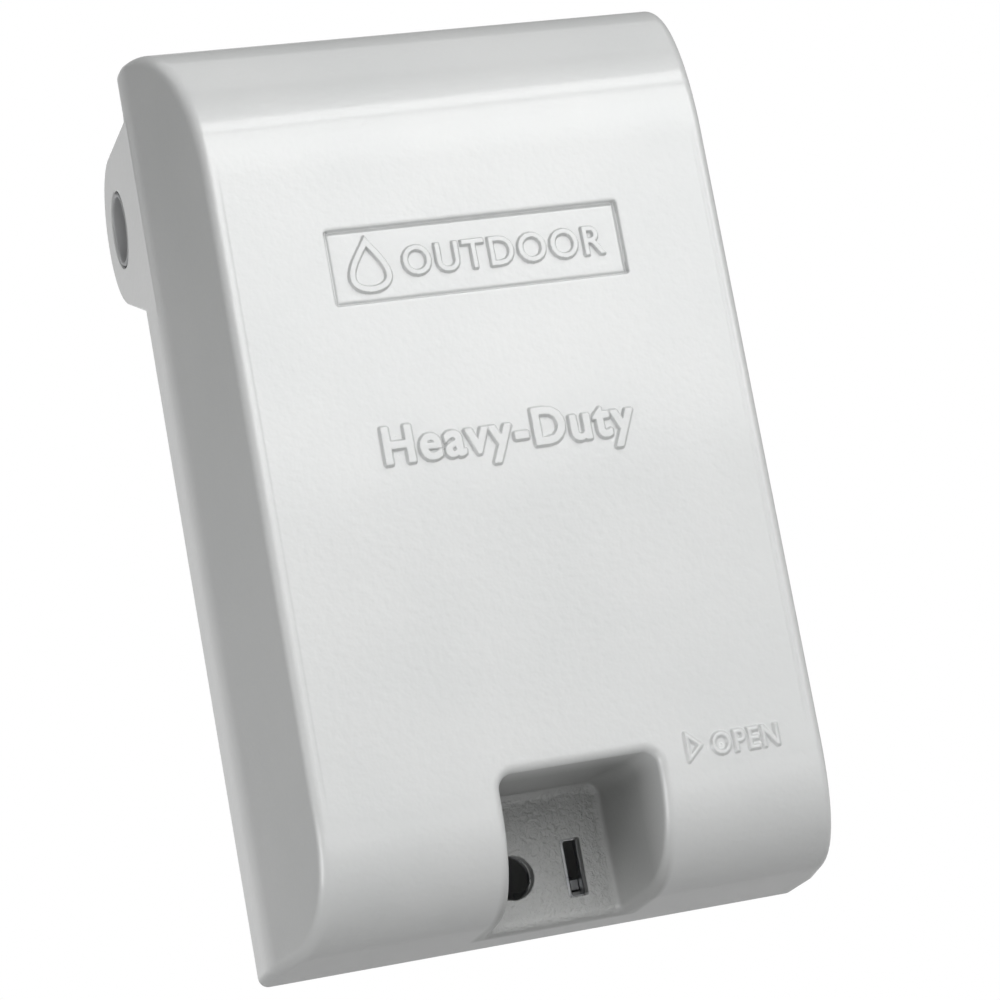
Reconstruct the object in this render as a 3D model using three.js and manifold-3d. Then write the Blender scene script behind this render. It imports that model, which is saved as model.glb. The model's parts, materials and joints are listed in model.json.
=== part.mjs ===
// Single-gang weatherproof outlet cover for upright mounting on a wall.
//
// A die-cast lid hangs from two hinge ears on a wall-mounted base housing and closes over the plugs of
// an outlet that is in use. Millimetres. +X right, +Z up, the front faces -Y. The origin lies on the
// wall plane, at the middle of the device opening and of the lid's height.

import * as THREE from 'three';
import { mergeVertices } from 'three/addons/utils/BufferGeometryUtils.js';
import Module from 'manifold-3d';

// ---------------------------------------------------------------------------------------------------
// Driving dimensions

const LID_WIDTH = 100; // across the rim flange
const LID_HEIGHT = 163.3;
const LID_FOOT = 80.5; // the lid's bottom edge below the middle of the wiring device
const LID_DEPTH = 42; // rim plane to front face
const LID_WALL = 2.5;
const LID_INSET = 5.6; // how much narrower each side is at the front face
const FLANGE_DEPTH = 12.5; // straight part of the sides, behind the drafted part
const RIM_CUTBACK_DEPTH = 8.6; // the rim stands back above the ears, to clear the wall when it swings
const DOME_RADIUS = 31;
const CHIN_DEPTH = 20; // curved lower front edge, measured front to back
const CHIN_HEIGHT = 23;
const CHIN_RISE = 3; // how far the underside has sloped up where the chin begins
const LID_CORNER = 6; // corner radius seen from the front

const BASE_DEPTH = 39; // wall plane to the lid's rim plane
const BASE_WIDTH = 84;
const BASE_WALL = 3;
const BASE_GAP = 4; // from the lid's bottom edge up to the base's bottom
const BASE_HEADROOM = 7.3; // from the lid's top down to the base's top
const BASE_CORNER = 7;
const BASE_OVERLAP = 5; // how far the base reaches forward into the lid
const HOOD_REACH = 14; // at the top it reaches further, under the rim that stands back
const HOOD_FOOT = 14; // how far the hood comes down from the base's top
const FRONT_FLANGE_WIDTH = 92.4;
const FRONT_FLANGE_THICKNESS = 3;
const GASKET_THICKNESS = 1.7;
const BACK_PLATE_FACE = 2; // the base starts this far in front of the wall plane

const HINGE_BACK = 11; // hinge axis behind the rim plane
const HINGE_DROP = 23.6; // hinge axis below the lid's top
const EAR_RADIUS = 13.8;
const EAR_THICKNESS = 2;
const EAR_BORE = 14;
const EAR_FOOT = 3.9; // how far the ear's lower edge runs down along the rim
const EAR_ROOT = 2; // how far the ear reaches into the rim flange
const EAR_STEP = 8; // the rim's cut-back ends this far above the hinge axis
const BUSH_OUTER = 13.4;
const BUSH_INNER = 11.8;
const BOSS_DIAMETER = 19;

const POCKET_WIDTH = 28.4; // padlock pocket at the front face
const POCKET_X = 0.8; // middle of the pocket
const POCKET_NARROWING = 2; // how much each side closes in towards the pocket's back wall
const POCKET_HEIGHT = 29;
const POCKET_ROOF_DROP = 2.5; // how far the roof slopes down towards the back wall
const POCKET_CORNER = 3;
const POCKET_BACK = 12; // pocket's back wall in front of the rim plane
const SHACKLE_HOLE = { x: -5, z: 11, diameter: 7.6 };
const LATCH_SLOT = { x: 6.3, z: 11.1, width: 3.5, height: 10 };

const PANEL = { width: 52, height: 12.9, rise: 115, depth: 0.8 };

const DEVICE_SCREW_SPACING = 83.3;
const DEVICE_OPENING = { width: 33.5, height: 67.2 };
const BACK_OPENING = { width: 44, height: 75 };

const GAP = 0.3; // clearance between separate pieces
const THROUGH = 5; // how far a cutter runs past the face it cuts

// Levels worked out from the driving dimensions
const BOTTOM = -LID_FOOT;
const TOP = BOTTOM + LID_HEIGHT;
const RIM = -BASE_DEPTH;
const FRONT = RIM - LID_DEPTH;
const HALF_LID = LID_WIDTH / 2;
const HALF_BASE = BASE_WIDTH / 2;
const HINGE = { y: RIM + HINGE_BACK, z: TOP - HINGE_DROP };
const RIM_CUTBACK = RIM - RIM_CUTBACK_DEPTH;
const POCKET_FACE = RIM - POCKET_BACK;
const POCKET_REAR = POCKET_FACE + LID_WALL;
const BELOW_LID = BOTTOM - 20; // cutters that open downwards start here
const BASE_FRONT = RIM - BASE_OVERLAP;
const BASE_BOTTOM = BOTTOM + BASE_GAP;
const BASE_TOP = TOP - BASE_HEADROOM;
const SWEEP_RADIUS = 26.5; // the base's top stays inside this circle, so that the lid's rim swings past

// ---------------------------------------------------------------------------------------------------
// Materials

function finish(color, roughness, metalness) {
  return new THREE.MeshStandardMaterial({ color, roughness, metalness });
}

const greyCoat = finish(0xb4b7b5, 0.42, 0.25);
const zincSteel = finish(0xa9adb0, 0.3, 0.9);
const stainless = finish(0xc2c5c8, 0.25, 1.0);
const darkRubber = finish(0x232425, 0.85, 0.0);
const greyFoam = finish(0x3d3f40, 0.95, 0.0);
const greyPlastic = finish(0x5b5f61, 0.6, 0.0);

// ---------------------------------------------------------------------------------------------------
// Solids

const wasm = await Module();
wasm.setup();

function solid(geometry) {
  const bare = geometry.index ? geometry.toNonIndexed() : geometry.clone();
  bare.deleteAttribute('normal');
  bare.deleteAttribute('uv');
  const merged = mergeVertices(bare, 1e-4);
  const vertProperties = new Float32Array(merged.attributes.position.array);
  const triVerts = new Uint32Array(merged.index.array);
  return new wasm.Manifold(new wasm.Mesh({ numProp: 3, vertProperties, triVerts }));
}

function part(name, shape, material) {
  const { vertProperties, triVerts } = shape.getMesh();
  const geometry = new THREE.BufferGeometry();
  geometry.setAttribute('position', new THREE.BufferAttribute(new Float32Array(vertProperties), 3));
  geometry.setIndex(new THREE.BufferAttribute(new Uint32Array(triVerts), 1));
  geometry.computeVertexNormals();
  const mesh = new THREE.Mesh(geometry, material);
  mesh.name = name;
  return mesh;
}

function shapeFrom(points) {
  return new THREE.Shape(points.map(([u, v]) => new THREE.Vector2(u, v)));
}

// Turns an extrusion along local Z into one along a world axis:
// 'x' takes outline points (y, z), 'y' takes (x, z) and 'z' takes (x, y).
const TURN = {
  x: new THREE.Matrix4().set(0, 0, 1, 0, 1, 0, 0, 0, 0, 1, 0, 0, 0, 0, 0, 1),
  y: new THREE.Matrix4().set(1, 0, 0, 0, 0, 0, -1, 0, 0, 1, 0, 0, 0, 0, 0, 1),
  z: new THREE.Matrix4(),
};

function prism(axis, outline, from, to, holes = []) {
  const shape = shapeFrom(outline);
  shape.holes = holes.map((hole) => new THREE.Path(hole.map(([u, v]) => new THREE.Vector2(u, v))));
  const geometry = new THREE.ExtrudeGeometry(shape, { depth: to - from, bevelEnabled: false });
  geometry.translate(0, 0, axis === 'y' ? -to : from);
  geometry.applyMatrix4(TURN[axis]);
  return solid(geometry);
}

function box(x0, x1, y0, y1, z0, z1) {
  const geometry = new THREE.BoxGeometry(x1 - x0, y1 - y0, z1 - z0);
  geometry.translate((x0 + x1) / 2, (y0 + y1) / 2, (z0 + z1) / 2);
  return solid(geometry);
}

function arc(u, v, radiusU, radiusV, startDegrees, endDegrees, steps) {
  return Array.from({ length: steps + 1 }, (_, i) => {
    const angle = THREE.MathUtils.degToRad(startDegrees + ((endDegrees - startDegrees) * i) / steps);
    return [u + radiusU * Math.cos(angle), v + radiusV * Math.sin(angle)];
  });
}

function circle(u, v, diameter, steps = 28) {
  return arc(u, v, diameter / 2, diameter / 2, 0, 360, steps).slice(0, steps);
}

function roundedRectangle(u0, u1, v0, v1, radius, steps = 5) {
  return [
    ...arc(u1 - radius, v0 + radius, radius, radius, -90, 0, steps),
    ...arc(u1 - radius, v1 - radius, radius, radius, 0, 90, steps),
    ...arc(u0 + radius, v1 - radius, radius, radius, 90, 180, steps),
    ...arc(u0 + radius, v0 + radius, radius, radius, 180, 270, steps),
  ];
}

function joined(shapes) {
  return shapes.reduce((sum, shape) => sum.add(shape));
}

function cut(body, cutters) {
  return cutters.reduce((rest, cutter) => rest.subtract(cutter), body);
}

// ---------------------------------------------------------------------------------------------------
// Lid casting

// Side view of the lid, from the rear of the underside round the chin, front and dome to the rim.
function lidSideOutline(inset) {
  const front = FRONT + inset;
  const dome = DOME_RADIUS - inset;
  const chinDepth = CHIN_DEPTH - inset;
  const chinHeight = CHIN_HEIGHT - inset;
  const chinFoot = BOTTOM + CHIN_RISE + inset;
  const rear = inset > 0 ? RIM + THROUGH : RIM;
  const rimTop = [
    [RIM_CUTBACK, TOP],
    [RIM_CUTBACK, HINGE.z + EAR_RADIUS],
    [rear, HINGE.z + EAR_STEP],
  ];
  return [
    [rear, BOTTOM + inset],
    ...arc(front + chinDepth, chinFoot + chinHeight, chinDepth, chinHeight, 270, 180, 8),
    ...arc(FRONT + DOME_RADIUS, TOP - DOME_RADIUS, dome, dome, 180, 90, 12),
    ...(inset > 0 ? [[rear, TOP - inset]] : rimTop),
  ];
}

// Plan view of the lid: straight flange, then drafted sides.
function lidPlanOutline(inset) {
  const rear = inset > 0 ? RIM + THROUGH : RIM;
  const half = HALF_LID - inset;
  const halfFront = half - LID_INSET;
  return [
    [-half, rear],
    [-half, RIM - FLANGE_DEPTH],
    [-halfFront, FRONT + inset],
    [halfFront, FRONT + inset],
    [half, RIM - FLANGE_DEPTH],
    [half, rear],
  ];
}

function lidBody(inset) {
  const half = HALF_LID - inset;
  const corner = LID_CORNER - inset;
  const frontView = roundedRectangle(-half, half, BOTTOM + inset, TOP - inset, corner);
  const rear = inset > 0 ? RIM + THROUGH : RIM;
  return prism('x', lidSideOutline(inset), -half, half)
    .intersect(prism('z', lidPlanOutline(inset), BOTTOM, TOP))
    .intersect(prism('y', frontView, FRONT, rear));
}

function hingeEar(side) {
  const outline = [
    [RIM - EAR_ROOT, HINGE.z - EAR_RADIUS - EAR_FOOT],
    ...arc(HINGE.y, HINGE.z, EAR_RADIUS, EAR_RADIUS, -76, 80, 14),
    [RIM_CUTBACK, HINGE.z + EAR_RADIUS + 1],
    [RIM_CUTBACK, HINGE.z],
  ];
  const outer = side * HALF_LID;
  const inner = side * (HALF_LID - EAR_THICKNESS);
  return prism('x', outline, Math.min(outer, inner), Math.max(outer, inner));
}

// Pocket outline in plan; grow = 0 is the air inside it, grow = LID_WALL the outside of its walls.
function pocketPlan(grow) {
  const front = POCKET_WIDTH / 2 + grow;
  const back = front - POCKET_NARROWING;
  const rear = POCKET_FACE + grow;
  return [
    [POCKET_X - front, FRONT - THROUGH],
    [POCKET_X + front, FRONT - THROUGH],
    [POCKET_X + back, rear],
    [POCKET_X - back, rear],
  ];
}

function pocketBlock(grow) {
  const half = POCKET_WIDTH / 2 + grow;
  const low = POCKET_X - half;
  const high = POCKET_X + half;
  const roof = BOTTOM + POCKET_HEIGHT + grow;
  const rear = POCKET_FACE + grow;
  const frontView = roundedRectangle(low, high, BELOW_LID, roof, POCKET_CORNER + grow);
  const sideView = [
    [FRONT - THROUGH, BELOW_LID],
    [rear, BELOW_LID],
    [rear, roof - POCKET_ROOF_DROP],
    [FRONT, roof],
    [FRONT - THROUGH, roof],
  ];
  return prism('z', pocketPlan(grow), BELOW_LID, roof)
    .intersect(prism('y', frontView, FRONT - THROUGH, RIM))
    .intersect(prism('x', sideView, low, high));
}

// The pocket's back wall runs on to the right as a ledge that carries the latch.
const LATCH_LEDGE = { x1: 29.5, z0: BOTTOM + 1, z1: BOTTOM + 24 };
const LATCH_POST = { x0: 27.5, z0: BOTTOM + 8.5, z1: BOTTOM + 13.5, rear: POCKET_REAR + 3 };
const GUIDE_SCREW_X = 16.2;
const GUIDE_SCREW_Z = [BOTTOM + 14.2, BOTTOM + 8];
const GUIDE_SHANK = 2.5;
const GUIDE_HOLE_FLOOR = 0.6; // metal left in front of the blind screw holes

function lidCasting() {
  const outer = lidBody(0);
  const shell = outer.subtract(lidBody(LID_WALL));
  const ledge = box(0, LATCH_LEDGE.x1, POCKET_FACE, POCKET_REAR, LATCH_LEDGE.z0, LATCH_LEDGE.z1);
  const { x0, z0, z1, rear } = LATCH_POST;
  const post = box(x0, LATCH_LEDGE.x1, POCKET_FACE, rear, z0, z1);
  const inside = joined([pocketBlock(LID_WALL), ledge, post]).intersect(outer);
  const slot = LATCH_SLOT;
  const cutters = [
    pocketBlock(0),
    prism('x', circle(HINGE.y, HINGE.z, EAR_BORE), -HALF_LID - THROUGH, HALF_LID + THROUGH),
    prism(
      'y',
      circle(SHACKLE_HOLE.x, BOTTOM + SHACKLE_HOLE.z, SHACKLE_HOLE.diameter),
      POCKET_FACE - THROUGH,
      POCKET_REAR + THROUGH,
    ),
    box(
      slot.x - slot.width / 2,
      slot.x + slot.width / 2,
      POCKET_FACE - THROUGH,
      POCKET_REAR + THROUGH,
      BOTTOM + slot.z - slot.height / 2,
      BOTTOM + slot.z + slot.height / 2,
    ),
    box(
      -PANEL.width / 2,
      PANEL.width / 2,
      FRONT - THROUGH,
      FRONT + PANEL.depth,
      BOTTOM + PANEL.rise - PANEL.height / 2,
      BOTTOM + PANEL.rise + PANEL.height / 2,
    ),
    ...GUIDE_SCREW_Z.map((z) =>
      prism(
        'y',
        circle(GUIDE_SCREW_X, z, GUIDE_SHANK + 2 * GAP, 12),
        POCKET_FACE + GUIDE_HOLE_FLOOR,
        POCKET_REAR + 1,
      ),
    ),
  ];
  return cut(joined([shell, inside, hingeEar(-1), hingeEar(1)]), cutters);
}

// ---------------------------------------------------------------------------------------------------
// Base housing

// Side view of the base: its top rear corner follows the swing of the lid's rim.
function baseSideOutline(inset) {
  const radius = SWEEP_RADIUS - inset;
  const top = BASE_TOP - inset;
  const rear = inset > 0 ? -BACK_PLATE_FACE - BASE_WALL : -BACK_PLATE_FACE;
  const front = inset > 0 ? RIM - HOOD_REACH - THROUGH : BASE_FRONT;
  const low = THREE.MathUtils.radToDeg(Math.acos((rear - HINGE.y) / radius));
  const high = THREE.MathUtils.radToDeg(Math.asin((top - HINGE.z) / radius));
  return [
    [front, BASE_BOTTOM + inset],
    [rear, BASE_BOTTOM + inset],
    ...arc(HINGE.y, HINGE.z, radius, radius, low, high, 6),
    [front, top],
  ];
}

function baseFrontOutline(inset) {
  const half = HALF_BASE - inset;
  return roundedRectangle(-half, half, BASE_BOTTOM + inset, BASE_TOP - inset, BASE_CORNER - inset);
}

function baseBody(inset) {
  const half = HALF_BASE - inset;
  const front = inset > 0 ? RIM - HOOD_REACH - THROUGH : BASE_FRONT;
  return prism('x', baseSideOutline(inset), -half, half).intersect(
    prism('y', baseFrontOutline(inset), front, -BACK_PLATE_FACE),
  );
}

const FLANGE_HALF = FRONT_FLANGE_WIDTH / 2;
const SCREW_HEIGHTS = [DEVICE_SCREW_SPACING / 2, -DEVICE_SCREW_SPACING / 2];
const MOUNT_HOLE = 4.2;
const PLATE_FRONT = -BACK_PLATE_FACE - BASE_WALL; // inner face of the base's back plate
const KEYHOLE = { x: 29, z: 50, head: 8, slot: 4.2, reach: 8 };
const KEYHOLES = [-1, 1].flatMap((side) =>
  [-1, 1].map((end) => ({ x: side * KEYHOLE.x, z: end * KEYHOLE.z })),
);
const CORD_X = 26;
const CORD_HOLE = 8;
const CORD_NOTCH = { width: 13, back: RIM + 15 };
const SHACKLE_NOTCH = { x0: -12, x1: 0.5, back: RIM + 12 };
const HASP_SCREW_X = 7;
const HASP_SCREW_Y = [RIM + 2, RIM + 9];
const HASP_SHANK = 3;

function keyholeCutter({ x, z }) {
  const half = KEYHOLE.slot / 2;
  const round = prism('y', circle(x, z, KEYHOLE.head, 16), PLATE_FRONT - 1, THROUGH);
  const slot = box(x - half, x + half, PLATE_FRONT - 1, THROUGH, z, z + KEYHOLE.reach);
  return round.add(slot);
}

function backOpening(inset = 0) {
  const halfWidth = BACK_OPENING.width / 2 - inset;
  const halfHeight = BACK_OPENING.height / 2 - inset;
  return roundedRectangle(-halfWidth, halfWidth, -halfHeight, halfHeight, 3 - inset, 3);
}

function baseHousing() {
  const flange = prism(
    'y',
    roundedRectangle(-FLANGE_HALF, FLANGE_HALF, BASE_BOTTOM, BASE_TOP, BASE_CORNER + 1),
    BASE_FRONT,
    BASE_FRONT + FRONT_FLANGE_THICKNESS,
  );
  const hood = prism('y', baseFrontOutline(0), RIM - HOOD_REACH, BASE_FRONT + 1).intersect(
    box(-HALF_BASE, HALF_BASE, RIM - HOOD_REACH, RIM, BASE_TOP - HOOD_FOOT, BASE_TOP),
  );
  const bosses = [-1, 1].map((side) => {
    const inner = side * (HALF_BASE - BASE_WALL);
    const outer = side * (HALF_LID - EAR_THICKNESS - GAP);
    return prism(
      'x',
      circle(HINGE.y, HINGE.z, BOSS_DIAMETER),
      Math.min(inner, outer),
      Math.max(inner, outer),
    );
  });
  const notchHalf = CORD_NOTCH.width / 2;
  const notches = [-CORD_X, CORD_X].map((x) =>
    prism(
      'z',
      [
        [x - notchHalf, BASE_FRONT - THROUGH],
        [x + notchHalf, BASE_FRONT - THROUGH],
        ...arc(x, CORD_NOTCH.back - notchHalf, notchHalf, notchHalf, 0, 180, 10),
      ],
      BASE_BOTTOM - THROUGH,
      BASE_BOTTOM + BASE_WALL + 1,
    ),
  );
  const cutters = [
    baseBody(BASE_WALL),
    prism('x', circle(HINGE.y, HINGE.z, EAR_BORE), -HALF_LID, HALF_LID),
    prism('y', backOpening(), PLATE_FRONT - 1, THROUGH),
    ...SCREW_HEIGHTS.map((z) => prism('y', circle(0, z, MOUNT_HOLE, 16), PLATE_FRONT - 1, THROUGH)),
    ...KEYHOLES.map(keyholeCutter),
    ...notches,
    box(
      SHACKLE_NOTCH.x0,
      SHACKLE_NOTCH.x1,
      BASE_FRONT - THROUGH,
      SHACKLE_NOTCH.back,
      BASE_BOTTOM - THROUGH,
      BASE_BOTTOM + BASE_WALL + 1,
    ),
    ...HASP_SCREW_Y.map((y) =>
      prism(
        'z',
        circle(HASP_SCREW_X, y, HASP_SHANK + 2 * GAP, 12),
        BASE_BOTTOM - 1,
        BASE_BOTTOM + BASE_WALL + 1,
      ),
    ),
  ];
  return cut(joined([baseBody(0), flange, hood, ...bosses]), cutters);
}

// ---------------------------------------------------------------------------------------------------
// Seals and adapter

// Foam sheet on the wall side. It ends level with the hinge, below the base's rounded top rear corner.
function wallGasket() {
  const outline = roundedRectangle(-HALF_BASE, HALF_BASE, BASE_BOTTOM, HINGE.z, BASE_CORNER);
  const screwHoles = SCREW_HEIGHTS.map((z) => circle(0, z, MOUNT_HOLE, 16));
  const sheet = prism('y', outline, -GASKET_THICKNESS, 0, [backOpening(), ...screwHoles]);
  return cut(sheet, KEYHOLES.map(keyholeCutter));
}

const ADAPTER = { width: 54, height: 100, thickness: 2.5, front: PLATE_FRONT - GAP - 2.5 };
const ADAPTER_LIP = 1.6; // raised frame round the device window

function deviceWindow(grow) {
  const halfWidth = DEVICE_OPENING.width / 2 + grow;
  const halfHeight = DEVICE_OPENING.height / 2 + grow;
  return roundedRectangle(-halfWidth, halfWidth, -halfHeight, halfHeight, 2 + grow, 3);
}

function deviceAdapterPlate() {
  const { width, height, thickness, front } = ADAPTER;
  const plate = prism(
    'y',
    roundedRectangle(-width / 2, width / 2, -height / 2, height / 2, 4, 4),
    front,
    front + thickness,
  );
  const lip = prism('y', deviceWindow(2), front - ADAPTER_LIP, front + 1);
  return cut(plate.add(lip), [
    prism('y', deviceWindow(0), front - THROUGH, front + THROUGH),
    ...SCREW_HEIGHTS.map((z) => prism('y', circle(0, z, MOUNT_HOLE, 16), front - THROUGH, front + THROUGH)),
  ]);
}

function deviceGasket() {
  return prism('y', backOpening(GAP), PLATE_FRONT, -BACK_PLATE_FACE, [deviceWindow(0.4)]);
}

const WEATHER_SEAL = { half: 1.7, thickness: 1.9, edge: 2, foot: 6, head: 9 };

// Foam strip up one side of the front flange. The bottom stays open to drain.
function weatherSeal(side) {
  const { half, thickness, edge, foot, head } = WEATHER_SEAL;
  const rear = BASE_FRONT - GAP;
  const middle = side * (FLANGE_HALF - edge);
  const low = BASE_BOTTOM + foot;
  const high = BASE_TOP - head;
  const outline = roundedRectangle(middle - half, middle + half, low, high, half, 4);
  return prism('y', outline, rear - thickness, rear);
}

const SEAL_LIP = 2.2; // how far the seal's two lips stand out past the notch, and the lower one's thickness
const SEAL_TOP = 2; // thickness of the upper lip
const SEAL_SLIT = 1.4;
const SEAL_REACH = 4.4; // how far the seal comes forward of the rim, under the lid

// Slotted rubber plug that fills a cord notch and grips the cord.
function cordSeal(x) {
  const neckHalf = CORD_NOTCH.width / 2 - GAP;
  const neckBack = CORD_NOTCH.back - GAP;
  const wallLow = BASE_BOTTOM - GAP;
  const wallHigh = BASE_BOTTOM + BASE_WALL + GAP;
  const outline = (grow, front) => [
    [x - neckHalf - grow, front],
    [x + neckHalf + grow, front],
    ...arc(x, neckBack - neckHalf, neckHalf + grow, neckHalf + grow, 0, 180, 10),
  ];
  const half = SEAL_SLIT / 2;
  const neck = prism('z', outline(0, RIM - SEAL_REACH), BASE_BOTTOM + 0.2, wallHigh + 0.5);
  const stem = prism('z', outline(0, RIM + 1), wallLow - 1, BASE_BOTTOM + 1);
  const lower = prism('z', outline(SEAL_LIP, RIM + 1), wallLow - SEAL_LIP, wallLow);
  const upper = prism('z', outline(SEAL_LIP, RIM - SEAL_REACH), wallHigh, wallHigh + SEAL_TOP);
  const holeY = neckBack - neckHalf;
  const bore = prism('z', circle(x, holeY, CORD_HOLE, 20), BOTTOM - THROUGH, wallHigh + THROUGH);
  const slit = box(x - half, x + half, BASE_FRONT - THROUGH, holeY, BOTTOM - THROUGH, wallHigh + THROUGH);
  return cut(joined([neck, stem, lower, upper]), [bore, slit]);
}

// ---------------------------------------------------------------------------------------------------
// Hinge bushes and rings

const RING_SEAT = HALF_BASE - BASE_WALL - GAP; // how far out the ring's bearing face lies
const RING = { outer: 18, thickness: 1.4 };
const BUSH_TAIL = 1.8; // how far the bush reaches inboard of the ring's bearing face

function tube(side, outerDiameter, innerDiameter, near, far) {
  const x0 = Math.min(side * near, side * far);
  const x1 = Math.max(side * near, side * far);
  return prism('x', circle(HINGE.y, HINGE.z, outerDiameter), x0, x1, [
    circle(HINGE.y, HINGE.z, innerDiameter),
  ]);
}

function hingeBush(side) {
  return tube(side, BUSH_OUTER, BUSH_INNER, HALF_LID, RING_SEAT - BUSH_TAIL);
}

function hingeRing(side) {
  return tube(side, RING.outer, BUSH_OUTER + 2 * GAP, RING_SEAT, RING_SEAT - RING.thickness);
}

// ---------------------------------------------------------------------------------------------------
// Screws and washers

// A screw along -Z with its head's underside at z = 0 and a cross recess in the head.
function screwBody(shankDiameter, shankLength, headDiameter, headHeight) {
  const shank = shankDiameter / 2;
  const head = headDiameter / 2;
  const profile = [
    [0, -shankLength],
    [shank * 0.75, -shankLength],
    [shank, -shankLength + shank * 0.5],
    [shank, 0],
    [head, 0],
    [head, headHeight * 0.45],
    [head * 0.7, headHeight * 0.9],
    [0, headHeight],
  ].map(([r, z]) => new THREE.Vector2(r, z));
  const lathe = new THREE.LatheGeometry(profile, 16);
  lathe.rotateX(Math.PI / 2);
  const wing = head * 0.55;
  const blade = head * 0.14;
  const floor = headHeight * 0.35;
  const cross = box(-wing, wing, -blade, blade, floor, headHeight + 1).add(
    box(-blade, blade, -wing, wing, floor, headHeight + 1),
  );
  return solid(lathe).subtract(cross);
}

// Places a screw with its head towards -Y.
function screwFacingFront(shape, x, y, z) {
  return shape.rotate([90, 0, 0]).translate([x, y, z]);
}

// Places a screw with its head towards +Y.
function screwFacingBack(shape, x, y, z) {
  return shape.rotate([-90, 0, 0]).translate([x, y, z]);
}

const WASHER = { outer: 9, inner: 4.2, thickness: 1 };
const MOUNT_SCREW = { shank: 3.5, reach: 12, head: 7.2, headHeight: 2.4 };

function sealingWasher(z) {
  const rear = ADAPTER.front - GAP;
  const hole = circle(0, z, WASHER.inner, 16);
  return prism('y', circle(0, z, WASHER.outer, 20), rear - WASHER.thickness, rear, [hole]);
}

function mountingScrew(z) {
  const { shank, reach, head, headHeight } = MOUNT_SCREW;
  const seat = ADAPTER.front - 2 * GAP - WASHER.thickness;
  return screwFacingFront(screwBody(shank, reach - seat, head, headHeight), 0, seat, z);
}

// ---------------------------------------------------------------------------------------------------
// Hasp bracket and latch

const HASP = { thickness: 1.8, front: RIM - 7.4, x0: -11, x1: 12.5, top: BOTTOM + 24 };
const HASP_HOLE = 8.4; // the padlock's shackle passes through it
const HASP_EDGE = 7.3; // edge that the latch hook catches behind
const HASP_WINDOW = { z0: BOTTOM + 16.6, z1: BOTTOM + 22.4 };
const HASP_SLOT = { x0: 4, x1: 8.6, z0: BOTTOM + 5.4, z1: BOTTOM + 16 }; // room for a fingertip
const SLIDER = { thickness: 1.2, rear: RIM - 8, x0: 0.4, x1: 21, z0: BOTTOM + 5.2, z1: BOTTOM + 17 };
const LATCH_AXIS_Z = BOTTOM + LATCH_SLOT.z; // height of the return spring
const LATCH_TRAVEL = 2.2;
const LATCH_ARM = { x0: 7.6, x1: 11.5, z0: BOTTOM + 15, z1: BOTTOM + 21 };
const LATCH_HOOK = { shank: 9.4, x1: 11.2, rear: RIM - 3.2, nose: 2, z0: BOTTOM + 17.6, z1: BOTTOM + 20.6 };
const FINGER_EDGE = 1.4; // strip of the slider that shows at the left of the latch slot
const FINGER_WINDOW = { x1: 11.2, z0: BOTTOM + 6.4, z1: BOTTOM + 15.8 };
const SPRING_LUG = { thickness: 1.2, rear: RIM - 6.4, half: 2 };
const SPIGOT = { diameter: 1.4, length: 2.2 };

function haspBracket() {
  const { thickness, front, x0, x1, top } = HASP;
  const footLow = BASE_BOTTOM + BASE_WALL + GAP;
  const tab = prism(
    'y',
    roundedRectangle(x0, x1, BASE_BOTTOM + 0.5, top, 2.5, 3),
    front,
    front + thickness,
  );
  const foot = box(1.5, x1, front, RIM + 13, footLow, footLow + thickness);
  return cut(tab.add(foot), [
    prism('y', circle(SHACKLE_HOLE.x, BOTTOM + SHACKLE_HOLE.z, HASP_HOLE), front - 1, front + thickness + 1),
    box(HASP_EDGE, x1 + 1, front - 1, front + thickness + 1, HASP_WINDOW.z0, HASP_WINDOW.z1),
    box(HASP_SLOT.x0, HASP_SLOT.x1, front - 1, front + thickness + 1, HASP_SLOT.z0, HASP_SLOT.z1),
    ...HASP_SCREW_Y.map((y) => prism('z', circle(HASP_SCREW_X, y, HASP_SHANK + 2 * GAP, 12), BOTTOM, 0)),
  ]);
}

function haspScrew(y) {
  const seat = BASE_BOTTOM + BASE_WALL + GAP + HASP.thickness + GAP;
  return screwBody(HASP_SHANK, seat - BASE_BOTTOM - 0.6, 5.5, 1.7).translate([HASP_SCREW_X, y, seat]);
}

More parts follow.
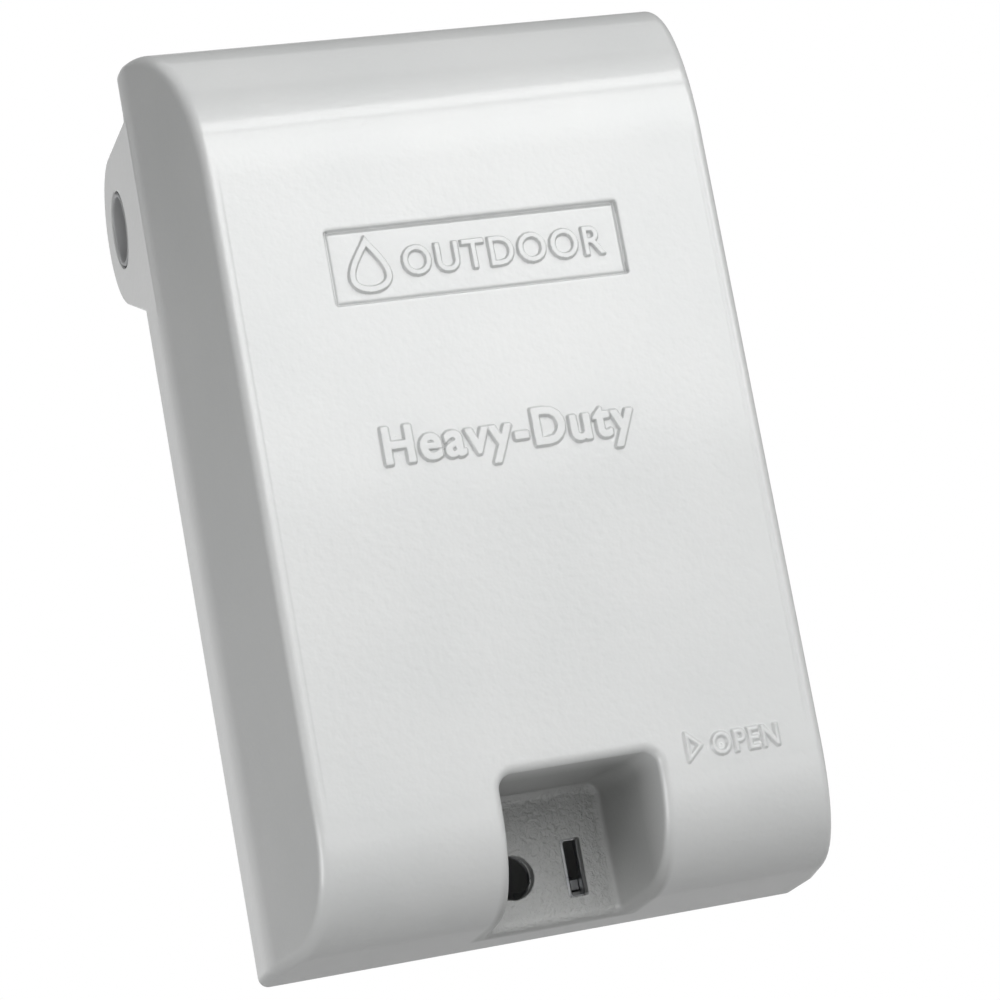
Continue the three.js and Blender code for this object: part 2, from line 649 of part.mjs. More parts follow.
// Pressed plate behind the pocket's back wall. Its window leaves a finger edge in the latch slot, and
// its hook reaches back through the hasp bracket's window.
function latchSlider() {
  const { thickness, rear, x0, x1, z0, z1 } = SLIDER;
  const front = rear - thickness;
  const plate = box(x0, x1, front, rear, z0, z1);
  const arm = box(LATCH_ARM.x0, LATCH_ARM.x1, front, rear, LATCH_ARM.z0, LATCH_ARM.z1);
  const hook = LATCH_HOOK;
  const shank = box(hook.shank, hook.x1, front, hook.rear, hook.z0, hook.z1);
  const nose = box(HASP_EDGE + GAP, hook.x1, hook.rear - hook.nose, hook.rear, hook.z0, hook.z1);
  const lugLow = LATCH_AXIS_Z - SPRING_LUG.half;
  const lugHigh = LATCH_AXIS_Z + SPRING_LUG.half;
  const lug = box(x1 - SPRING_LUG.thickness, x1, front, SPRING_LUG.rear, lugLow, lugHigh);
  const finger = LATCH_SLOT.x - LATCH_SLOT.width / 2 + FINGER_EDGE;
  const window = box(finger, FINGER_WINDOW.x1, front - 1, rear + 1, FINGER_WINDOW.z0, FINGER_WINDOW.z1);
  const radius = GUIDE_SHANK / 2 + GAP / 2;
  const guides = GUIDE_SCREW_Z.map((z) =>
    prism(
      'y',
      [
        ...arc(GUIDE_SCREW_X - LATCH_TRAVEL - 0.2, z, radius, radius, 90, 270, 6),
        ...arc(GUIDE_SCREW_X + 0.2, z, radius, radius, -90, 90, 6),
      ],
      front - 1,
      rear + 1,
    ),
  );
  const spigotOutline = circle(SPRING.y, LATCH_AXIS_Z, SPIGOT.diameter, 10);
  const spigot = prism('x', spigotOutline, x1 - 0.5, x1 + SPIGOT.length);
  return cut(joined([plate, arm, shank, nose, lug, spigot]), [window, ...guides]);
}

const SPRING = {
  y: RIM - 7.8,
  from: SLIDER.x1 + GAP / 2,
  to: LATCH_POST.x0 - GAP / 2,
  outer: 2.8,
  wire: 0.45,
  turns: 6,
};

function guideScrew(z) {
  const seat = SLIDER.rear + GAP / 2;
  const reach = seat - POCKET_FACE - 0.9;
  return screwFacingBack(screwBody(GUIDE_SHANK, reach, 4.8, 1.3), GUIDE_SCREW_X, seat, z);
}

class SpringLine extends THREE.Curve {
  getPoint(t, target = new THREE.Vector3()) {
    const radius = (SPRING.outer - SPRING.wire) / 2;
    const start = SPRING.from + SPRING.wire / 2;
    const length = SPRING.to - SPRING.from - SPRING.wire;
    const angle = t * SPRING.turns * 2 * Math.PI;
    return target.set(
      start + length * t,
      SPRING.y + radius * Math.cos(angle),
      LATCH_AXIS_Z + radius * Math.sin(angle),
    );
  }
}

function latchSpring() {
  const section = shapeFrom(circle(0, 0, SPRING.wire, 6));
  const geometry = new THREE.ExtrudeGeometry(section, {
    steps: SPRING.turns * 12,
    bevelEnabled: false,
    extrudePath: new SpringLine(),
  });
  return solid(geometry);
}

// ---------------------------------------------------------------------------------------------------
// Assembly

const wallSide = new THREE.Group();
const lidSide = new THREE.Group();

wallSide.add(
  part('base_housing', baseHousing(), greyCoat),
  part('wall_gasket', wallGasket(), greyFoam),
  part('device_gasket', deviceGasket(), greyFoam),
  part('device_adapter_plate', deviceAdapterPlate(), greyPlastic),
  part('weather_seal_left', weatherSeal(-1), greyFoam),
  part('weather_seal_right', weatherSeal(1), greyFoam),
  part('hasp_bracket', haspBracket(), zincSteel),
  part('hasp_screw_front', haspScrew(HASP_SCREW_Y[0]), zincSteel),
  part('hasp_screw_rear', haspScrew(HASP_SCREW_Y[1]), zincSteel),
  part('cord_seal_left', cordSeal(-CORD_X), darkRubber),
  part('cord_seal_right', cordSeal(CORD_X), darkRubber),
);
['top', 'bottom'].forEach((end, i) => {
  wallSide.add(part(`mounting_screw_${end}`, mountingScrew(SCREW_HEIGHTS[i]), stainless));
  wallSide.add(part(`sealing_washer_${end}`, sealingWasher(SCREW_HEIGHTS[i]), darkRubber));
});

lidSide.add(
  part('lid_casting', lidCasting(), greyCoat),
  part('latch_slider', latchSlider(), zincSteel),
  part('latch_spring', latchSpring(), stainless),
  part('latch_guide_screw_upper', guideScrew(GUIDE_SCREW_Z[0]), zincSteel),
  part('latch_guide_screw_lower', guideScrew(GUIDE_SCREW_Z[1]), zincSteel),
);
[['left', -1], ['right', 1]].forEach(([name, side]) => {
  lidSide.add(part(`hinge_bush_${name}`, hingeBush(side), greyPlastic));
  lidSide.add(part(`hinge_ring_${name}`, hingeRing(side), stainless));
});

const cover = new THREE.Group();
cover.name = 'weatherproof_outlet_cover';
cover.add(wallSide, lidSide);

export default cover;
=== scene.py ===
"""Looks of the weatherproof outlet cover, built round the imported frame.

The shape functions work in millimetres in the frame's own axes: X to the right, Y into the wall, Z up.
A shape function takes points and returns how far each lies outside the shape, negative inside it.
Every Blender object is in metres.
"""

import functools
import json
import math

import bpy
import numpy as np
from mathutils import Matrix, Vector


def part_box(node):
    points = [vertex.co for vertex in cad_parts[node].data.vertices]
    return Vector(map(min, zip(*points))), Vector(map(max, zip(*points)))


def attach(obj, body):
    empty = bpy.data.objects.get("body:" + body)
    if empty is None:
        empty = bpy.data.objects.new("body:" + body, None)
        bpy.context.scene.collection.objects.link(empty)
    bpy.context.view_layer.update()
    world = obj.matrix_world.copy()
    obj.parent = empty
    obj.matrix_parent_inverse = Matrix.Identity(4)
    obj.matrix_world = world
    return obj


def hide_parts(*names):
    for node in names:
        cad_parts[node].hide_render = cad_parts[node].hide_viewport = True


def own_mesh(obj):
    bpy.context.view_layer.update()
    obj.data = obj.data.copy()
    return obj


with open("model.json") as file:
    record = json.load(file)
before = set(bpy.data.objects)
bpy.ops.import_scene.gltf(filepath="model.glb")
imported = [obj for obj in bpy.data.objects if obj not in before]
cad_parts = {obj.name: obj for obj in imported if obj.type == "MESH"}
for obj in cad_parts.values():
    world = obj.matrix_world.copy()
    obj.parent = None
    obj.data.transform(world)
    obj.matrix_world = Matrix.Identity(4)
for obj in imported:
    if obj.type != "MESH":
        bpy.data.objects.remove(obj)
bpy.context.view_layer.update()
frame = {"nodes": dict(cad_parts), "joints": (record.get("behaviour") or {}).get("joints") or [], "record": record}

MM = 0.001


def add_object(name, data):
    item = bpy.data.objects.new(name, data)
    bpy.context.scene.collection.objects.link(item)
    return item


def node_box(name):
    """A frame node's lowest and highest corners, in millimetres."""
    low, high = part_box(name)
    return np.array(low) / MM, np.array(high) / MM


# ---- Dimensions, in millimetres

LID_LOW, LID_HIGH = node_box("lid_casting")
JOINTS = {joint["name"]: joint for joint in frame["joints"]}
HALF_LID = LID_HIGH[0]
BOTTOM = LID_LOW[2]
TOP = LID_HIGH[2]
FRONT = LID_LOW[1]
LID_DEPTH = 42
RIM = FRONT + LID_DEPTH
HINGE_Y = JOINTS["lid_hinge"]["pos_m"][1] / MM
HINGE_Z = JOINTS["lid_hinge"]["pos_m"][2] / MM
LATCH_TRAVEL = JOINTS["latch_slide"]["range_m"][1] / MM

LID_WALL = 2.5
LID_INSET = 5.6
FLANGE_DEPTH = 12.5
FLANGE_FOLD = 0.7  # radius where the leaning side meets the flange
RIM_CUTBACK = RIM - 8.6
CUTBACK_DROP = 6.3
CUTBACK_FILLET = 1.0
DOME_RADIUS = 31
CHIN_DEPTH = 20
CHIN_HEIGHT = 23
CHIN_RISE = 3
CHIN_FULLNESS = 2.5  # 2 would make the chin's curve an ellipse
FRONT_EDGE = 1.4  # radius of the long edges of the front face
DOME_EDGE = 2.2  # radius that those edges grow to where the dome meets the rim
CHIN_EDGE = 1.8  # radius that they grow to round the chin
RIM_EDGE = 1.2
HOLLOW_CORNER = 3
CUT_EDGE = 0.4  # radius on the edges of holes and thin walls
SMALL_EDGE = 0.3
FAINT_EDGE = 0.2

EAR_RADIUS = 13.8
EAR_THICKNESS = 2
EAR_BORE = 14
EAR_EDGE = 0.5
EAR_TOP_TILT = 1.5
EAR_BOTTOM_TILT = 19

POCKET_HALF = 14
POCKET_X = 1.05
POCKET_NARROWING = 2
POCKET_HEIGHT = 27.2
POCKET_ROOF_DROP = 2
POCKET_FACE = RIM - 12
POCKET_REAR = POCKET_FACE + LID_WALL
POCKET_CORNER = 2.6
POCKET_LIP = 1.6
POCKET_FILLET = 1.5
POCKET_REAR_CORNER = 2

TINY = 1e-9  # keeps a division away from zero


# ---- Joining and cutting distances


def both(a, b, radius):
    """What lies in a and in b, with the edge between them rounded."""
    over_a = np.maximum(a + radius, 0)
    over_b = np.maximum(b + radius, 0)
    return np.minimum(-radius, np.maximum(a, b)) + np.hypot(over_a, over_b)


def either(a, b, radius):
    """What lies in a or in b, with a fillet between them."""
    return -both(-a, -b, radius)


def less(a, b, radius):
    """What is left of a when b is cut away, with the cut's edge rounded."""
    return both(a, -b, radius)


def slab(value, low, high):
    """Distance outside the stretch from low to high."""
    return np.maximum(low - value, value - high)


def rounded_rectangle(u, v, half_u, half_v, radius):
    """Distance outside a rectangle with rounded corners, centred on the origin."""
    across = np.abs(u) - half_u + radius
    up = np.abs(v) - half_v + radius
    outside = np.hypot(np.maximum(across, 0), np.maximum(up, 0))
    return outside + np.minimum(np.maximum(across, up), 0) - radius


def smooth_step(value):
    """0 below 0, 1 above 1 and an S curve between."""
    share = np.clip(value, 0, 1)
    return share * share * (3 - 2 * share)


# ---- From a shape function to a mesh


SLOPE_STEP = 0.01
LEAST_STEEPNESS = 0.25  # squared slope below which a distance isn't trusted


def slope_of(shape, points):
    """Gradient of the distance, by differences along the four corners of a tetrahedron."""
    corners = np.array([(1, -1, -1), (-1, -1, 1), (-1, 1, -1), (1, 1, 1)], float)
    total = np.zeros_like(points)
    for corner in corners:
        total += corner * shape(points + SLOPE_STEP * corner)[:, None]
    return total / (4 * SLOPE_STEP)


def settle(shape, points, reach, rounds=4):
    """Moves points onto the surface, at most reach at a time."""
    for _ in range(rounds):
        slope = slope_of(shape, points)
        steep = np.maximum((slope**2).sum(1), LEAST_STEEPNESS)
        move = np.clip(shape(points) / steep, -reach, reach)
        points = points - move[:, None] * slope
    return points


def surface_net(shape, low, high, cell):
    """Points near the surface and the quads between them, from a regular grid of distances."""
    count = np.ceil((np.array(high) - np.array(low)) / cell).astype(int) + 5
    start = np.array(low) - 2 * cell
    axes = [start[k] + cell * np.arange(count[k]) for k in range(3)]
    values = np.empty(count)
    for i, x in enumerate(axes[0]):
        y, z = np.meshgrid(axes[1], axes[2], indexing="ij")
        layer = np.stack([np.full(y.size, x), y.ravel(), z.ravel()], 1)
        values[i] = shape(layer).reshape(y.shape)

    cells = count - 1
    quads, crossings = [], []
    for axis in range(3):
        before = np.delete(values, -1, axis)
        after = np.delete(values, 0, axis)
        crossed = (before < 0) != (after < 0)
        at = np.argwhere(crossed)
        point = at.astype(float)
        point[:, axis] += before[crossed] / (before[crossed] - after[crossed])
        u, v = (axis + 1) % 3, (axis + 2) % 3
        around = []
        for step_u, step_v in ((-1, -1), (0, -1), (0, 0), (-1, 0)):
            neighbour = at.copy()
            neighbour[:, u] += step_u
            neighbour[:, v] += step_v
            around.append(np.ravel_multi_index(neighbour.T, cells))
        around = np.stack(around, 1)
        inward = before[crossed] >= 0
        around[inward] = around[inward][:, ::-1]
        quads.append(around)
        crossings.append(np.repeat(point, 4, axis=0))

    quads = np.concatenate(quads)
    crossings = np.concatenate(crossings)
    used, numbers = np.unique(quads.ravel(), return_inverse=True)
    hits = np.bincount(numbers)
    middle = np.stack([np.bincount(numbers, crossings[:, k]) / hits for k in range(3)], 1)
    return start + cell * middle, numbers.reshape(-1, 4)


def split_quads(points, quads):
    """Two triangles for each quad, along its shorter diagonal."""
    a, b, c, d = quads.T
    one = ((points[a] - points[c]) ** 2).sum(1)
    other = ((points[b] - points[d]) ** 2).sum(1)
    shorter = (one <= other)[:, None]
    first = np.where(shorter, np.stack([a, b, c], 1), np.stack([a, b, d], 1))
    second = np.where(shorter, np.stack([a, c, d], 1), np.stack([b, c, d], 1))
    return np.concatenate([first, second])


def refine(shape, points, triangles, tolerance, shortest, longest):
    """Splits every side that strays from the surface or is longer than longest allows."""
    sides = np.concatenate([triangles[:, [0, 1]], triangles[:, [1, 2]], triangles[:, [2, 0]]])
    sides.sort(axis=1)
    keys, where = np.unique(sides[:, 0] * len(points) + sides[:, 1], return_inverse=True)
    ends = np.stack([keys // len(points), keys % len(points)], 1)
    where = where.reshape(3, -1).T
    middle = points[ends].mean(1)
    length = np.linalg.norm(points[ends[:, 0]] - points[ends[:, 1]], axis=1)
    marked = (np.abs(shape(middle)) > tolerance) & (length > 2 * shortest)
    if longest is not None:
        marked |= length > longest(middle)
    while True:
        flags = marked[where]
        partly = flags.sum(1) == 2
        if not partly.any():
            break
        marked[where[partly]] = True

    fresh = np.full(len(keys), -1)
    fresh[marked] = len(points) + np.arange(marked.sum())
    points = np.concatenate([points, middle[marked]])
    count = flags.sum(1)
    result = [triangles[count == 0]]
    whole = count == 3
    a, b, c = triangles[whole].T
    ab, bc, ca = fresh[where[whole]].T
    for corner in ((a, ab, ca), (ab, b, bc), (ca, bc, c), (ab, bc, ca)):
        result.append(np.stack(corner, 1))
    for k in range(3):
        single = (count == 1) & flags[:, k]
        one, two, three = (triangles[single, (k + i) % 3] for i in range(3))
        cut = fresh[where[single, k]]
        result.append(np.stack([one, cut, three], 1))
        result.append(np.stack([cut, two, three], 1))
    return points, np.concatenate(result), marked.any()


def mesh_from(name, points, triangles, normals):
    """A smooth-shaded mesh. Where a normal is zero, Blender works out its own."""
    mesh = bpy.data.meshes.new(name)
    mesh.from_pydata(points * MM, [], triangles.tolist())
    mesh.polygons.foreach_set("use_smooth", np.ones(len(triangles), bool))
    mesh.normals_split_custom_set_from_vertices(normals)
    mesh.update()
    return mesh


REFINING_ROUNDS = 4


def shape_mesh(name, shape, low, high, cell, tolerance=0.02, shortest=0.12, longest=None):
    """A closed triangle mesh of the shape, split where a side strays by more than the tolerance."""
    points, quads = surface_net(shape, low, high, cell)
    points = settle(shape, points, cell / 3)
    triangles = split_quads(points, quads)
    for _ in range(REFINING_ROUNDS):
        points, triangles, changed = refine(shape, points, triangles, tolerance, shortest, longest)
        if not changed:
            break
        points = settle(shape, points, shortest, 2)
    slope = slope_of(shape, points)
    normals = slope / np.maximum(np.linalg.norm(slope, axis=1), TINY)[:, None]
    return mesh_from(name, points, triangles, normals)


# ---- Raised marks on the lid's front face

LETTER_SPACING = 1.12
FIELD_STEP = 0.1
FIELD_MARGIN = 1.2
INSIDE_GRID = 0.001  # keeps a place on the grid's last line inside its last square


def text_outline(words):
    """The outline of generic lettering in Blender's own font, as the two ends of each short line."""
    curve = bpy.data.curves.new("lettering", "FONT")
    curve.body = words
    curve.resolution_u = 4
    curve.space_character = LETTER_SPACING
    item = add_object("lettering", curve)
    mesh = bpy.data.meshes.new_from_object(item.evaluated_get(bpy.context.evaluated_depsgraph_get()))
    corners = np.array([vertex.co[:2] for vertex in mesh.vertices])
    edges = [key for face in mesh.polygons for key in face.edge_keys]
    rim, uses = np.unique(edges, axis=0, return_counts=True)
    rim = rim[uses == 1]
    bpy.data.objects.remove(item)
    bpy.data.curves.remove(curve)
    bpy.data.meshes.remove(mesh)
    return corners[rim[:, 0]], corners[rim[:, 1]]


def fitted(outline, left, right, low, high):
    """The outline stretched to fill a rectangle."""
    both_ends = np.concatenate(outline)
    corner, far = both_ends.min(0), both_ends.max(0)
    scale = np.array([right - left, high - low]) / (far - corner)
    return tuple((ends - corner) * scale + (left, low) for ends in outline)


def closed_outline(points):
    points = np.array(points, float)
    return points, np.roll(points, -1, axis=0)


def outline_field(outline):
    """A grid of how deep each place lies inside the outline, negative outside it."""
    starts, ends = outline
    low = np.concatenate(outline).min(0) - FIELD_MARGIN
    high = np.concatenate(outline).max(0) + FIELD_MARGIN
    count = np.ceil((high - low) / FIELD_STEP).astype(int) + 1
    u = low[0] + FIELD_STEP * np.arange(count[0])
    v = low[1] + FIELD_STEP * np.arange(count[1])
    place = np.stack(np.meshgrid(u, v, indexing="ij"), -1).reshape(-1, 2)
    nearest = np.full(len(place), np.inf)
    inside = np.zeros(len(place), bool)
    for start, end in zip(starts, ends):
        along = end - start
        offset = place - start
        share = np.clip(offset @ along / max(along @ along, TINY), 0, 1)
        gap = offset - share[:, None] * along
        nearest = np.minimum(nearest, (gap**2).sum(1))
        if along[1] != 0:
            passed = (start[1] > place[:, 1]) != (end[1] > place[:, 1])
            inside ^= passed & (offset[:, 0] < offset[:, 1] * along[0] / along[1])
    depth = np.where(inside, 1, -1) * np.sqrt(nearest)
    return {"low": low, "depth": depth.reshape(count)}


def field_depth(field, u, v):
    """Depth inside the outline at any place, from the grid."""
    at_u = (u - field["low"][0]) / FIELD_STEP
    at_v = (v - field["low"][1]) / FIELD_STEP
    rows, columns = field["depth"].shape
    off = (at_u < 0) | (at_v < 0) | (at_u > rows - 1) | (at_v > columns - 1)
    at_u = np.clip(at_u, 0, rows - 1 - INSIDE_GRID)
    at_v = np.clip(at_v, 0, columns - 1 - INSIDE_GRID)
    i, j = at_u.astype(int), at_v.astype(int)
    s, t = at_u - i, at_v - j
    depth = field["depth"]
    near = depth[i, j] * (1 - t) + depth[i, j + 1] * t
    far = depth[i + 1, j] * (1 - t) + depth[i + 1, j + 1] * t
    return np.where(off, -FIELD_MARGIN, near * (1 - s) + far * s)


DROP_POINTS = 48
DROP_TAPER = 1.5  # how quickly the water drop narrows towards its tip
DROP_BULGE = 0.77


def drop_outline(x, z, width, height):
    """A water drop with its tip up."""
    corners = []
    for i in range(DROP_POINTS):
        turn = 2 * math.pi * i / DROP_POINTS
        aside = width * DROP_BULGE * math.sin(turn) * math.sin(turn / 2) ** DROP_TAPER
        corners.append((x + aside, z + height / 2 * math.cos(turn)))
    return closed_outline(corners)


PANEL = {"half_x": 26, "z": BOTTOM + 115, "half_z": 6.45, "depth": 0.8, "corner": 0.4}
PANEL_SLOPE = 0.3  # width of the sloping edge round the panel
PANEL_GROOVE = 0.3  # depth and half width of the groove along the foot of that edge
PANEL_GROOVE_PLACE = 0.15

LARGE_WORD = fitted(text_outline("Heavy-Duty"), -22.3, 21.5, BOTTOM + 78.8, BOTTOM + 86.8)
PANEL_WORD = fitted(text_outline("OUTDOOR"), -13.2, 22.6, PANEL["z"] - 2.5, PANEL["z"] + 2.5)
OPEN_WORD = fitted(text_outline("OPEN"), 24.7, 36.6, BOTTOM + 24.6, BOTTOM + 28.2)
ARROW = closed_outline([(20.2, BOTTOM + 24.3), (22.7, BOTTOM + 26.6), (20.2, BOTTOM + 28.9)])
DROP = drop_outline(-19.2, PANEL["z"] + 0.2, 6.6, 9.6)



def raised(outline, height, bolder, slope, rim=None):
    """A mark, wider than its outline by bolder, with sides slope wide. With a rim it is only a line."""
    return dict(field=outline_field(outline), height=height, bolder=bolder, slope=slope, rim=rim)


MARKS = [
    raised(LARGE_WORD, 0.65, bolder=0.42, slope=0.5),
    raised(PANEL_WORD, 0.65, bolder=0.2, slope=0.4),
    raised(OPEN_WORD, 0.45, bolder=0.2, slope=0.6),
    raised(ARROW, 0.45, bolder=0.3, slope=0.6, rim=0.4),
    raised(DROP, 0.65, bolder=0.2, slope=0.4, rim=0.6),
]


def mark_depth(mark, x, z):
    """How deep each place lies inside a mark."""
    depth = field_depth(mark["field"], x, z) + mark["bolder"]
    if mark["rim"] is not None:
        depth = mark["rim"] - np.abs(depth - mark["rim"])
    return depth


def panel_depth(x, z):
    return -rounded_rectangle(x, z - PANEL["z"], PANEL["half_x"], PANEL["half_z"], PANEL["corner"])


EDGE_LINE_X = HALF_LID - LID_INSET - 1.9  # a fine line runs down the face beside each long edge
EDGE_LINE_DEPTH = 0.12
EDGE_LINE_WIDTH = 0.3
EDGE_LINE_FADE = 8  # how far its ends take to fade out
EDGE_LINE_TOP = TOP - DOME_RADIUS + 4


def relief(x, z):
    """How far the front face stands out from its plain shape."""
    inside = panel_depth(x, z)
    rise = -PANEL["depth"] * smooth_step(inside / PANEL_SLOPE + 0.5)
    rise -= PANEL_GROOVE * np.exp(-(((inside - PANEL_GROOVE_PLACE) / PANEL_GROOVE) ** 2))
    for mark in MARKS:
        rise += mark["height"] * smooth_step(mark_depth(mark, x, z) / mark["slope"] + 0.5)
    line = np.exp(-(((np.abs(x) - EDGE_LINE_X) / EDGE_LINE_WIDTH) ** 2))
    above_chin = smooth_step((z - BOTTOM - CHIN_HEIGHT) / EDGE_LINE_FADE)
    below_dome = smooth_step((EDGE_LINE_TOP - z) / EDGE_LINE_FADE)
    return rise - EDGE_LINE_DEPTH * line * above_chin * below_dome


RELIEF_REACH = 2  # how far behind the front face the relief can matter
CLOSE, LONGEST_CLOSE = 0.4, 0.26  # up to this far from a mark's outline, mesh sides this long at most
NEAR, LONGEST_NEAR = 0.9, 0.6


def lid_longest(points):
    """Short mesh sides beside the raised marks and the panel's edge."""
    x, y, z = points.T
    limit = np.full(len(points), np.inf)
    front = np.flatnonzero(y < FRONT + RELIEF_REACH)
    nearest = np.abs(panel_depth(x[front], z[front]))
    for mark in MARKS:
        nearest = np.minimum(nearest, np.abs(mark_depth(mark, x[front], z[front])))
    further = np.where(nearest < NEAR, LONGEST_NEAR, np.inf)
    limit[front] = np.where(nearest < CLOSE, LONGEST_CLOSE, further)
    return limit


# ---- Lid casting


def chin_edge(y, z):
    """Front face, curved chin and sloping underside, seen from the side."""
    slope = CHIN_RISE / (LID_DEPTH - CHIN_DEPTH)
    height = CHIN_RISE + CHIN_HEIGHT - slope * LID_DEPTH
    above = z - slope * (RIM - y) - BOTTOM
    forward = np.maximum(FRONT + CHIN_DEPTH - y, 0)
    down = np.maximum(height - above, 0)
    across, along = forward / CHIN_DEPTH, down / height
    reach = np.maximum((across**CHIN_FULLNESS + along**CHIN_FULLNESS) ** (1 / CHIN_FULLNESS), TINY)
    power = CHIN_FULLNESS - 1
    bend = np.maximum(np.hypot(across**power / CHIN_DEPTH, along**power / height), TINY)
    curve = (reach - 1) * reach**power / bend
    return np.where(down == 0, FRONT - y, np.where(forward == 0, -above, curve))


def lid_profile(y, z):
    dome = both(FRONT - y, z - TOP, DOME_RADIUS)
    return np.where(z > 0, dome, chin_edge(y, z))


def lid_sides(x, y):
    """Straight flange, then sides that lean in towards the front."""
    run = LID_DEPTH - FLANGE_DEPTH
    steep = math.hypot(run, LID_INSET)
    flange = np.abs(x) - HALF_LID
    leaning = (flange * run + (RIM - FLANGE_DEPTH - y) * LID_INSET) / steep
    return both(flange, leaning, FLANGE_FOLD)


def lid_rear(y, z):
    """The rim plane, standing back above the ears."""
    run = RIM - RIM_CUTBACK
    steep = math.hypot(run, CUTBACK_DROP)
    step = ((y - RIM_CUTBACK) * CUTBACK_DROP + (z - HINGE_Z - EAR_RADIUS) * run) / steep
    return np.maximum(y - RIM, either(y - RIM_CUTBACK, step, CUTBACK_FILLET))


def lid_edge_radius(z):
    """Radius of the long edges, which grows over the dome and round the chin."""
    above = smooth_step((z - (TOP - DOME_RADIUS)) / DOME_RADIUS)
    below = smooth_step((BOTTOM + CHIN_HEIGHT + CHIN_RISE - z) / CHIN_HEIGHT)
    return FRONT_EDGE + (DOME_EDGE - FRONT_EDGE) * above + (CHIN_EDGE - FRONT_EDGE) * below


def pocket_air(x, y, z):
    """The space for the padlock."""
    back = (y - FRONT) / (POCKET_FACE - FRONT)
    side = np.abs(x - POCKET_X) - (POCKET_HALF - POCKET_NARROWING * back)
    roof = z - (BOTTOM + POCKET_HEIGHT - POCKET_ROOF_DROP * back)
    mouth = both(side, roof, POCKET_CORNER)
    return both(mouth, y - POCKET_FACE, POCKET_FILLET)


def ear_outline(y, z):
    """The ear's side view: a circle about the hinge, with two lines running forward from it."""
    u, v = y - HINGE_Y, z - HINGE_Z
    result = np.hypot(u, v) - EAR_RADIUS
    for tilt, sign in ((EAR_TOP_TILT, 1), (EAR_BOTTOM_TILT, -1)):
        cosine, sine = math.cos(math.radians(tilt)), math.sin(math.radians(tilt))
        out = u * sine + sign * v * cosine - EAR_RADIUS
        forward = -u * cosine + sign * v * sine
        result = np.where((sign * v > 0) & (forward > 0), out, result)
    return np.maximum(result, RIM - FLANGE_DEPTH + 1 - y)


RELIEF_BACK = 1.5  # the relief is worked out only this close to the front plane
RELIEF_BAND = 3  # and this close to the skin
LATCH_LEDGE = {"x": (0, 29.5), "y": (POCKET_FACE, POCKET_REAR), "z": (BOTTOM + 1, BOTTOM + 24)}
LATCH_POST = {"x": (27.5, 29.5), "y": (POCKET_FACE, POCKET_REAR + 3), "z": (BOTTOM + 8.5, BOTTOM + 13.5)}
SHACKLE_HOLE = {"x": -5, "z": BOTTOM + 11, "radius": 3.8}
LATCH_SLOT = {"x": 6.3, "z": BOTTOM + 11.1, "half_x": 1.75, "half_z": 5}


def shackle_hole(x, z):
    return np.hypot(x - SHACKLE_HOLE["x"], z - SHACKLE_HOLE["z"]) - SHACKLE_HOLE["radius"]


def lid_shape(points):
    x, y, z = points.T
    sides = lid_sides(x, y)
    profile = lid_profile(y, z)
    skin = both(sides, profile, lid_edge_radius(z))
    front = np.flatnonzero((y < FRONT + RELIEF_BACK) & (np.abs(skin) < RELIEF_BAND))
    skin[front] -= relief(x[front], z[front])
    block = both(skin, lid_rear(y, z), RIM_EDGE)
    air = pocket_air(x, y, z)
    block = less(block, air, POCKET_LIP)

    hollow = both(sides + LID_WALL, profile + LID_WALL, HOLLOW_CORNER)
    hollow = less(hollow, air - LID_WALL, POCKET_REAR_CORNER)
    shell = less(block, hollow, CUT_EDGE)

    ledge, post = (
        both(both(slab(x, *bar["x"]), slab(z, *bar["z"]), CUT_EDGE), slab(y, *bar["y"]), CUT_EDGE)
        for bar in (LATCH_LEDGE, LATCH_POST)
    )
    carrier = np.maximum(np.minimum(ledge, post), block)

    plate = np.abs(np.abs(x) - HALF_LID + EAR_THICKNESS / 2) - EAR_THICKNESS / 2
    ear = both(ear_outline(y, z), plate, EAR_EDGE)
    body = np.minimum(np.minimum(shell, carrier), ear)

    body = less(body, hinge_distance(y, z) - EAR_BORE / 2, CUT_EDGE)
    across, up = x - LATCH_SLOT["x"], z - LATCH_SLOT["z"]
    slot = rounded_rectangle(across, up, LATCH_SLOT["half_x"], LATCH_SLOT["half_z"], CUT_EDGE)
    through = slab(y, POCKET_FACE - 3, POCKET_REAR + 1)
    openings = np.maximum(np.minimum(shackle_hole(x, z), slot), through)
    return less(body, openings, SMALL_EDGE)


# ---- Shapes that several pieces share


def brick(points, low, high, radius):
    """A box between two corners, with rounded edges."""
    x, y, z = points.T
    walls = both(slab(x, low[0], high[0]), slab(y, low[1], high[1]), radius)
    return both(walls, slab(z, low[2], high[2]), radius)


def ring(round_distance, along, inner, outer, low, high, edge):
    """A tube round an axis, from the distance to the axis and the place along it."""
    return both(slab(round_distance, inner, outer), slab(along, low, high), edge)


def hinge_distance(y, z):
    return np.hypot(y - HINGE_Y, z - HINGE_Z)


def deepest(shapes):
    return np.minimum.reduce(shapes)


# ---- Base housing

BASE_LOW, BASE_HIGH = node_box("base_housing")
BASE_WALL = 3
BASE_REAR = BASE_HIGH[1]
PLATE_FRONT = BASE_REAR - BASE_WALL
BASE_FRONT = RIM - 5
BASE_BOTTOM = BASE_LOW[2]
BASE_TOP = BASE_HIGH[2]
BASE_MIDDLE = (BASE_TOP + BASE_BOTTOM) / 2
BASE_HALF_HEIGHT = (BASE_TOP - BASE_BOTTOM) / 2
HALF_BASE = 42
BASE_CORNER = 7
HOOD_FRONT = BASE_LOW[1]
HOOD_FOOT = 14
SWEEP_RADIUS = 26.5
HALF_FLANGE = 46.2
FLANGE_THICKNESS = 3
BOSS_RADIUS = 9.5
BASE_EDGE = 0.8
BASE_REAR_EDGE = 1.2
BASE_FILLET = 1.5
ROOM_CORNER = 2

